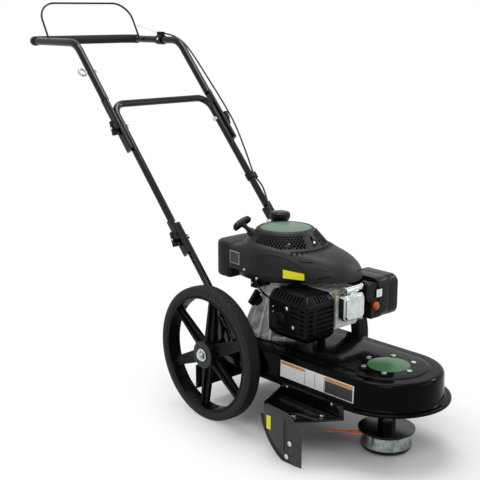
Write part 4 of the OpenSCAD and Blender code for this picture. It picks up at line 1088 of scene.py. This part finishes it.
# cutters for the diamond holes, in rows that are half a step apart
def grilleHoles():
    s = recoilSet
    (footR, footH), (topR, topH) = s["coneFoot"], s["coneTop"]
    deep = s["holeDeep"]
    holes = []
    for row in range(s["rows"]):
        h = s["firstRow"] + row * s["rowStep"]
        r = footR + (topR - footR) * (h - footH) / (topH - footH)
        size = s["hole"] * r / s["holeAt"]
        for i in range(s["perTurn"]):
            a = (i + 0.5 * (row % 2)) * 360 / s["perTurn"]
            if not any((a - lo) % 360 < hi - lo for lo, hi in s["grilles"]):
                continue
            hole = block("hole", (-deep, -size, -size), (deep, size, size))
            hole.data.transform(Matrix.Rotation(math.radians(45), 4, "X"))
            hole.data.transform(Matrix.Scale(s["holeTall"], 4, (0, 0, 1)))
            placeMesh(hole, s["holeLean"], "Y", (r, 0, h))
            holes.append(placeMesh(hole, a, "Z", recoilBase))
    return holes


# cutter for the tall window beside the grille, narrow at its top
def windowHole():
    s = recoilSet["window"]
    piece = block("window", s["low"], s["high"])
    for v in piece.data.vertices:
        if v.co.z * 1000 > s["high"][2] - 1:
            v.co.y *= s["narrow"]
    return placeMesh(piece, s["angle"], "Z", recoilBase)


# upright rib after the window: its outer and inner edges lean with the cone
def coneRib(turn):
    s = recoilSet["ribs"]
    piece = block("rib", (0, -s["half"], s["foot"]), (1, s["half"], s["top"]))
    for v in piece.data.vertices:
        reach, lean = s["outer"] if v.co.x * 1000 > 0.5 else s["inner"]
        v.co.x = (reach - (v.co.z * 1000 - s["foot"]) * lean) / 1000
    return placeMesh(piece, turn, "Z", recoilBase)


def makeRecoil():
    piece = turned("recoilConeGrille", recoilSet["profile"], recoilBase, steps=144)
    cutOut(piece, joined("grilleHoles", grilleHoles() + [windowHole()]))
    s = recoilSet["ribs"]
    ribs = [coneRib(s["first"] + k * s["step"]) for k in range(s["count"])]
    return joined("recoilConeGrille", [piece] + ribs)


recoil = makeRecoil()
smoothBy(recoil, 30)
settle(recoil, "chassis", "shroud_plastic", ("recoil_cover",))
recoilBadge = turned("recoilBadge", recoilSet["badge"], recoilBase)
settle(recoilBadge, "chassis", "shroud_plastic", finish=extras["badge"])
# the boss behind the cone's window carries the screw
recoilBoss = rod("recoilBoss", *recoilSet["boss"], recoilSet["bossRadius"], 24, 0.5)
settle(recoilBoss, "chassis", "shroud_plastic")
settle(rod("recoilScrew", *recoilSet["screw"], recoilSet["screwRadius"], 6, 0.5), "chassis", "zinc")

# rope outlet on the cover, and the line on which the grip is pulled
ropeSet = {"exit": (-72, 415, 484), "dir": (-0.195, 0.806, 0.559),
           "outlet": [(4, 6), (8.6, 6), (10.6, 4.4), (11, 2), (11, -30), (4, -30)]}
pull = Vector(ropeSet["dir"]).normalized()
ropeExit = Vector(ropeSet["exit"])
outlet = turned("ropeOutlet", ropeSet["outlet"], ropeExit, pull, 32)
settle(outlet, "chassis", "black_plastic")

# pull grip: a bar across the rope on a short stem
gripSet = {"bar": (0.944, 0, 0.33), "off": 36, "half": 29.5, "columns": 40, "rows": 14, "radius": 11,
           "square": 3, "endPower": 5, "endShare": 0.4, "back": 0.86, "under": 0.74, "arch": 3.2,
           "stem": [(3, 6.5), (7.6, 6.5), (7.6, 9), (6.4, 11), (5.8, 18), (6.8, 25), (8.6, 30), (8.6, 34),
                    (0, 34)]}


def makeGrip():
    s = gripSet
    along = Vector(s["bar"]).normalized()
    across = pull.cross(along).normalized()
    centre = ropeExit + pull * s["off"]

    # a squarish bar, flatter underneath, with drawn-in ends that bow towards the cover
    def place(i, j):
        a = 2 * math.pi * i / s["columns"]
        t = -1 + 2 * j / s["rows"]
        end = math.sqrt(max(0, 1 - abs(t) ** s["endPower"]))
        c, d = math.cos(a), math.sin(a)
        shape = (abs(c) ** s["square"] + abs(d) ** s["square"]) ** (-1 / s["square"])
        out = s["radius"] * (s["endShare"] + (1 - s["endShare"]) * end) * shape
        back = out * d * (s["back"] if d > 0 else s["under"]) - s["arch"] * t * t
        return centre + along * (s["half"] * t) + across * (out * c) + pull * back

    bar = loft("gripBar", s["columns"], s["rows"], place)
    closeEnds(bar)
    stem = turned("gripStem", s["stem"], ropeExit, pull, 32)
    return joined("starterGripMoulded", [bar, stem])


grip = makeGrip()
smoothBy(grip, 45)
settle(grip, "starter_grip", "black_plastic", ("starter_grip",))
print("recoil ready")

# air filter box: moulded halves, a plain label place, the primer
filterSet = {"label": [(92, 121.5, 338), (112, 123, 358)], "primerAt": (91, 124, 316),
             "primer": [(11, -6), (11, 2), (10.8, 3.4), (9.8, 5), (7.6, 6.8), (4.4, 8), (0, 8.4), (0, -6),
                        (11, -6)]}
roundedCopy("air_filter_base", "airFilterBaseMoulded", 2.4, 3)
roundedCopy("air_filter_cover", "airFilterCoverMoulded", 4.2, 4)
filterLabel = block("airFilterLabel", *filterSet["label"])
settle(filterLabel, "chassis", "black_plastic", finish=extras["white"])
primer = turned("primerBulbDome", filterSet["primer"], filterSet["primerAt"], (0, -1, 0), 40)
settle(primer, "primer_bulb", "bulb", ("primer_bulb",))

# dipstick: a winged cap
roundedCopy("dipstick", "dipstickWingCap", 3.2, 4)

# wing knobs, each with the bright end of its bolt on the outer side
knobSet = {"sides": {"right_upper_knob": -1, "left_upper_knob": 1, "right_lower_knob": -1,
                     "left_lower_knob": 1},
           "round": 2.6, "boltRadius": 3.2, "boltSpan": (-3, 1)}
for node, side in knobSet["sides"].items():
    words = node.split("_")
    name = words[0] + "".join(w.capitalize() for w in words[1:])
    roundedCopy(node, name + "Moulded", knobSet["round"], 4)
    corners = [v.co * 1000 for v in nodes[node].data.vertices]
    tip = max(side * c.x for c in corners)
    y, z = (sum(f(c[k] for c in corners) for f in (min, max)) / 2 for k in (1, 2))
    ends = [(side * (tip + d), y, z) for d in knobSet["boltSpan"]]
    settle(rod(name + "Bolt", *ends, knobSet["boltRadius"], 16, 0.5), bodyOf[node], "zinc")

# tubes and bars keep their CAD form, shaded smooth
tubeSet = {"masts": "mastTubes", "lower_handle": "lowerHandleTube", "upper_handle": "upperHandleTube",
           "bail": "bailBarBent", "axle": "axleBar"}
for node, name in tubeSet.items():
    roundedCopy(node, name, 0, smooth=40)
# the rope guide's eye takes the darkened zinc: painted shade, so that it shows against the white it reflects
roundedCopy("rope_guide", "ropeGuideEye", 0, smooth=40, finish=extras["eyeZincPaintedDark"])
print("small parts ready")

# foam grip: sleeve round the crossbar and both corners
foamSet = {"x": 188, "y": 1294.86, "z": 954.45, "bend": 40, "start": 1252, "radius": 13.98,
           "stops": (-100, -50, 0)}


def makeFoam():
    s = foamSet
    bend = s["bend"]
    run = [(-s["x"], s["start"], s["z"])]
    for k in range(9):
        a = math.pi - k * math.pi / 16
        run.append((-s["x"] + bend + bend * math.cos(a), s["y"] - bend + bend * math.sin(a), s["z"]))
    run += [(x, s["y"], s["z"]) for x in s["stops"]]
    run += [(-x, y, z) for x, y, z in reversed(run[:-1])]
    return tubeRun("foamGripSleeve", run, s["radius"], smooth=False, sides=5, roundMm=3)


settle(makeFoam(), "upper_handle", "foam", ("foam_grip",))

# control cable, bail wire and starter rope: each a tube along its run, in place of its CAD node;
# listed with the two bodies that hold it and the two of its points where they hold it
cableSet = {
    "controlCableUpper": {
        "run": [(192, 694.8, 578.3), (196, 710, 596), (203, 730, 618), (212, 760, 651), (220, 790, 684),
                (226, 820, 716), (228, 850, 748), (226, 890, 792), (222, 930, 836), (215, 968, 882),
                (208, 1000, 920), (202, 1030, 948), (195, 1062, 965), (190, 1090, 972), (188, 1112.6, 974.4)],
        "radius": 2.5, "bodies": ("lower_handle", "upper_handle"), "slot": "cable", "node": "cable_upper",
        "ends": (1, -2)},
    "controlCableLower": {
        "run": [(126, 435.3, 384), (126, 465, 390), (128, 485, 404), (131, 510, 428), (138, 540, 462),
                (150, 580, 497), (165, 612, 526), (181, 640, 542), (191, 666, 554), (192, 680.5, 562.6)],
        "radius": 2.5, "bodies": ("chassis", "lower_handle"), "slot": "cable", "node": "cable_lower",
        "ends": (1, -2)},
    "bailWireBright": {
        "run": [(188, 1141.2, 974.4), (182, 1190, 987), (176.5, 1238.9, 999.5)],
        "radius": 0.9, "bodies": ("upper_handle", "bail"), "slot": "chrome", "node": "bail_wire",
        "ends": (0, -1)},
    # the rope pays out between the outlet and the grip
    "starterRopeBraided": {
        "run": [tuple(ropeExit + pull * d) for d in (-12, -6, 0, 5, 10, 15, 20, 25, 29)],
        "radius": 2, "bodies": ("chassis", "starter_grip"), "slot": "rope", "node": "starter_rope",
        "ends": (2, -2)},
}
for name, s in cableSet.items():
    piece = tubeRun(name, s["run"], s["radius"], sides=2)
    piece.data.materials.append(finishes[s["slot"]])
    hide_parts(s["node"])
    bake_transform(piece)
# screw in the cable clip
clipScrew = rod("cableClipScrew", (176, 1125, 957), (170.5, 1125, 957), 4.2, 12, 0.6)
settle(clipScrew, bodyOf["cable_clip"], "zinc")
print("grip and cables ready")

# trimmer line: one length of nylon doubled over its post, drawn as its two strands from the post outwards
lineSet = {"diameter": 0.004, "height": 0.0483, "plateReach": 0.076, "rise": 0.06,
           "long": [(-18.2, 10), (-20, 15.5), (-26, 20), (-37, 23), (-50, 30), (-64, 39), (-78, 49), (-92, 59),
                    (-105, 69), (-118, 78), (-132, 86)],
           "short": [(-18.2, 10), (-20, 4.5), (-26, 1), (-36, 2), (-48, 8), (-60, 16), (-72, 26), (-82, 37),
                     (-90, 49)]}


# one strand as a curve: it rises a little once it is clear of the plate
def lineStrand(name, flat):
    s = lineSet
    points = []
    for x, y in flat:
        reach = math.hypot(x, y) / 1000
        points.append(Vector((x / 1000, y / 1000, s["height"] + max(0, reach - s["plateReach"]) * s["rise"])))
    run = smoothRun(points)
    strand = cordCurve(name, run, s["diameter"] / 2, 3)
    strand.data.materials.append(finishes["line"])
    length = sum((b - a).length for a, b in zip(run, run[1:]))
    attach(strand, "head")
    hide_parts("trimmer_line")
    return length


lineLong = lineStrand("trimmerLineLong", lineSet["long"])
lineShort = lineStrand("trimmerLineShort", lineSet["short"])
print("trimmer line", round(lineLong, 4), round(lineShort, 4))


# 1 where the camera looks, directly or by a reflection or through a clear piece, and 0 for other light
def seenRays(tree):
    ray = addNode(tree, "ShaderNodeLightPath")
    seen = addNode(tree, "ShaderNodeMath", links={0: (ray, "Is Camera Ray"), 1: (ray, "Is Glossy Ray")},
                   operation="MAXIMUM")
    return addNode(tree, "ShaderNodeMath", links={0: (seen, "Value"), 1: (ray, "Is Transmission Ray")},
                   operation="MAXIMUM")


# floor: matt grey paper near the object, where the lamps' shadow falls, with a glow fading in to plain white
# further out; the grey round the object is partly that real shadow and partly painted shade, an ellipse set
# over where the shadow falls
floorSet = {"size": 120, "colour": "#c8c8c8", "centre": (0.02, 0.2, 0), "stretch": (2.6, 1.6, 0),
            "fade": (0.35, 1.15), "white": 1.0}
clearSelection()
bpy.ops.mesh.primitive_plane_add(size=floorSet["size"], location=(0, 0, 0))
floor = bpy.context.object
floor.name = "studioFloor"
paper = bpy.data.materials.new("studioPaper")
paper.use_nodes = True
tree = paper.node_tree
tree.nodes.clear()
matt = addNode(tree, "ShaderNodeBsdfDiffuse", {"Color": linear(floorSet["colour"])})
glow = addNode(tree, "ShaderNodeEmission", {"Color": (1, 1, 1, 1), "Strength": floorSet["white"]})
seen = seenRays(tree)
# the ellipse of painted shade: the floor stays grey within it, shifted and stretched towards where the shadow
# falls
spot = addNode(tree, "ShaderNodeTexCoord")
shift = addNode(tree, "ShaderNodeVectorMath", {1: floorSet["centre"]}, {0: (spot, "Object")},
                operation="SUBTRACT")
spread = addNode(tree, "ShaderNodeVectorMath", {1: floorSet["stretch"]}, {0: (shift, "Vector")},
                 operation="MULTIPLY")
away = addNode(tree, "ShaderNodeVectorMath", links={0: (spread, "Vector")}, operation="LENGTH")
near, far = floorSet["fade"]
rise = addNode(tree, "ShaderNodeMapRange", {"From Min": near, "From Max": far, "To Min": 0, "To Max": 1},
               {"Value": (away, "Value")}, interpolation_type="SMOOTHSTEP")
share = addNode(tree, "ShaderNodeMath", links={0: (seen, "Value"), 1: (rise, "Result")},
                operation="MULTIPLY")
mixed = addNode(tree, "ShaderNodeMixShader",
                links={"Fac": (share, "Value"), 1: (matt, "BSDF"), 2: (glow, "Emission")})
addNode(tree, "ShaderNodeOutputMaterial", links={"Surface": (mixed, "Shader")})
floor.data.materials.append(paper)

# world: white where it is seen, softer as light
worldSet = {"light": 0.55, "white": 1.0}
world = bpy.data.worlds.new("studioWorld")
world.use_nodes = True
bpy.context.scene.world = world
tree = world.node_tree
tree.nodes.clear()
seen = seenRays(tree)
level = addNode(tree, "ShaderNodeMapRange", {"To Min": worldSet["light"], "To Max": worldSet["white"]},
                {"Value": (seen, "Value")})
sky = addNode(tree, "ShaderNodeBackground", {"Color": (1, 1, 1, 1)}, {"Strength": (level, "Result")})
addNode(tree, "ShaderNodeOutputWorld", links={"Surface": (sky, "Background")})

# soft lamps, all aimed at the engine's foot
lampSet = {
    "keySoftbox": {"place": (-2.2, -1.4, 2.6), "power": 38, "size": 1.4},
    "topSoftbox": {"place": (0.3, 0.6, 3.2), "power": 62, "size": 1.6},
    "fillSoftbox": {"place": (1.6, -2.4, 1.4), "power": 18, "size": 1.6},
    "glintStrip": {"place": (2.4, -0.4, 2.0), "power": 14, "size": 0.4},
}
lampAim = Vector((0, 0.45, 0.35))
for name, s in lampSet.items():
    lampData = bpy.data.lights.new(name, "AREA")
    lampData.energy = s["power"]
    lampData.size = s["size"]
    lamp = bpy.data.objects.new(name, lampData)
    bpy.context.scene.collection.objects.link(lamp)
    lamp.location = s["place"]
    lamp.rotation_euler = (lampAim - lamp.location).to_track_quat("-Z", "Y").to_euler()
print("studio ready")
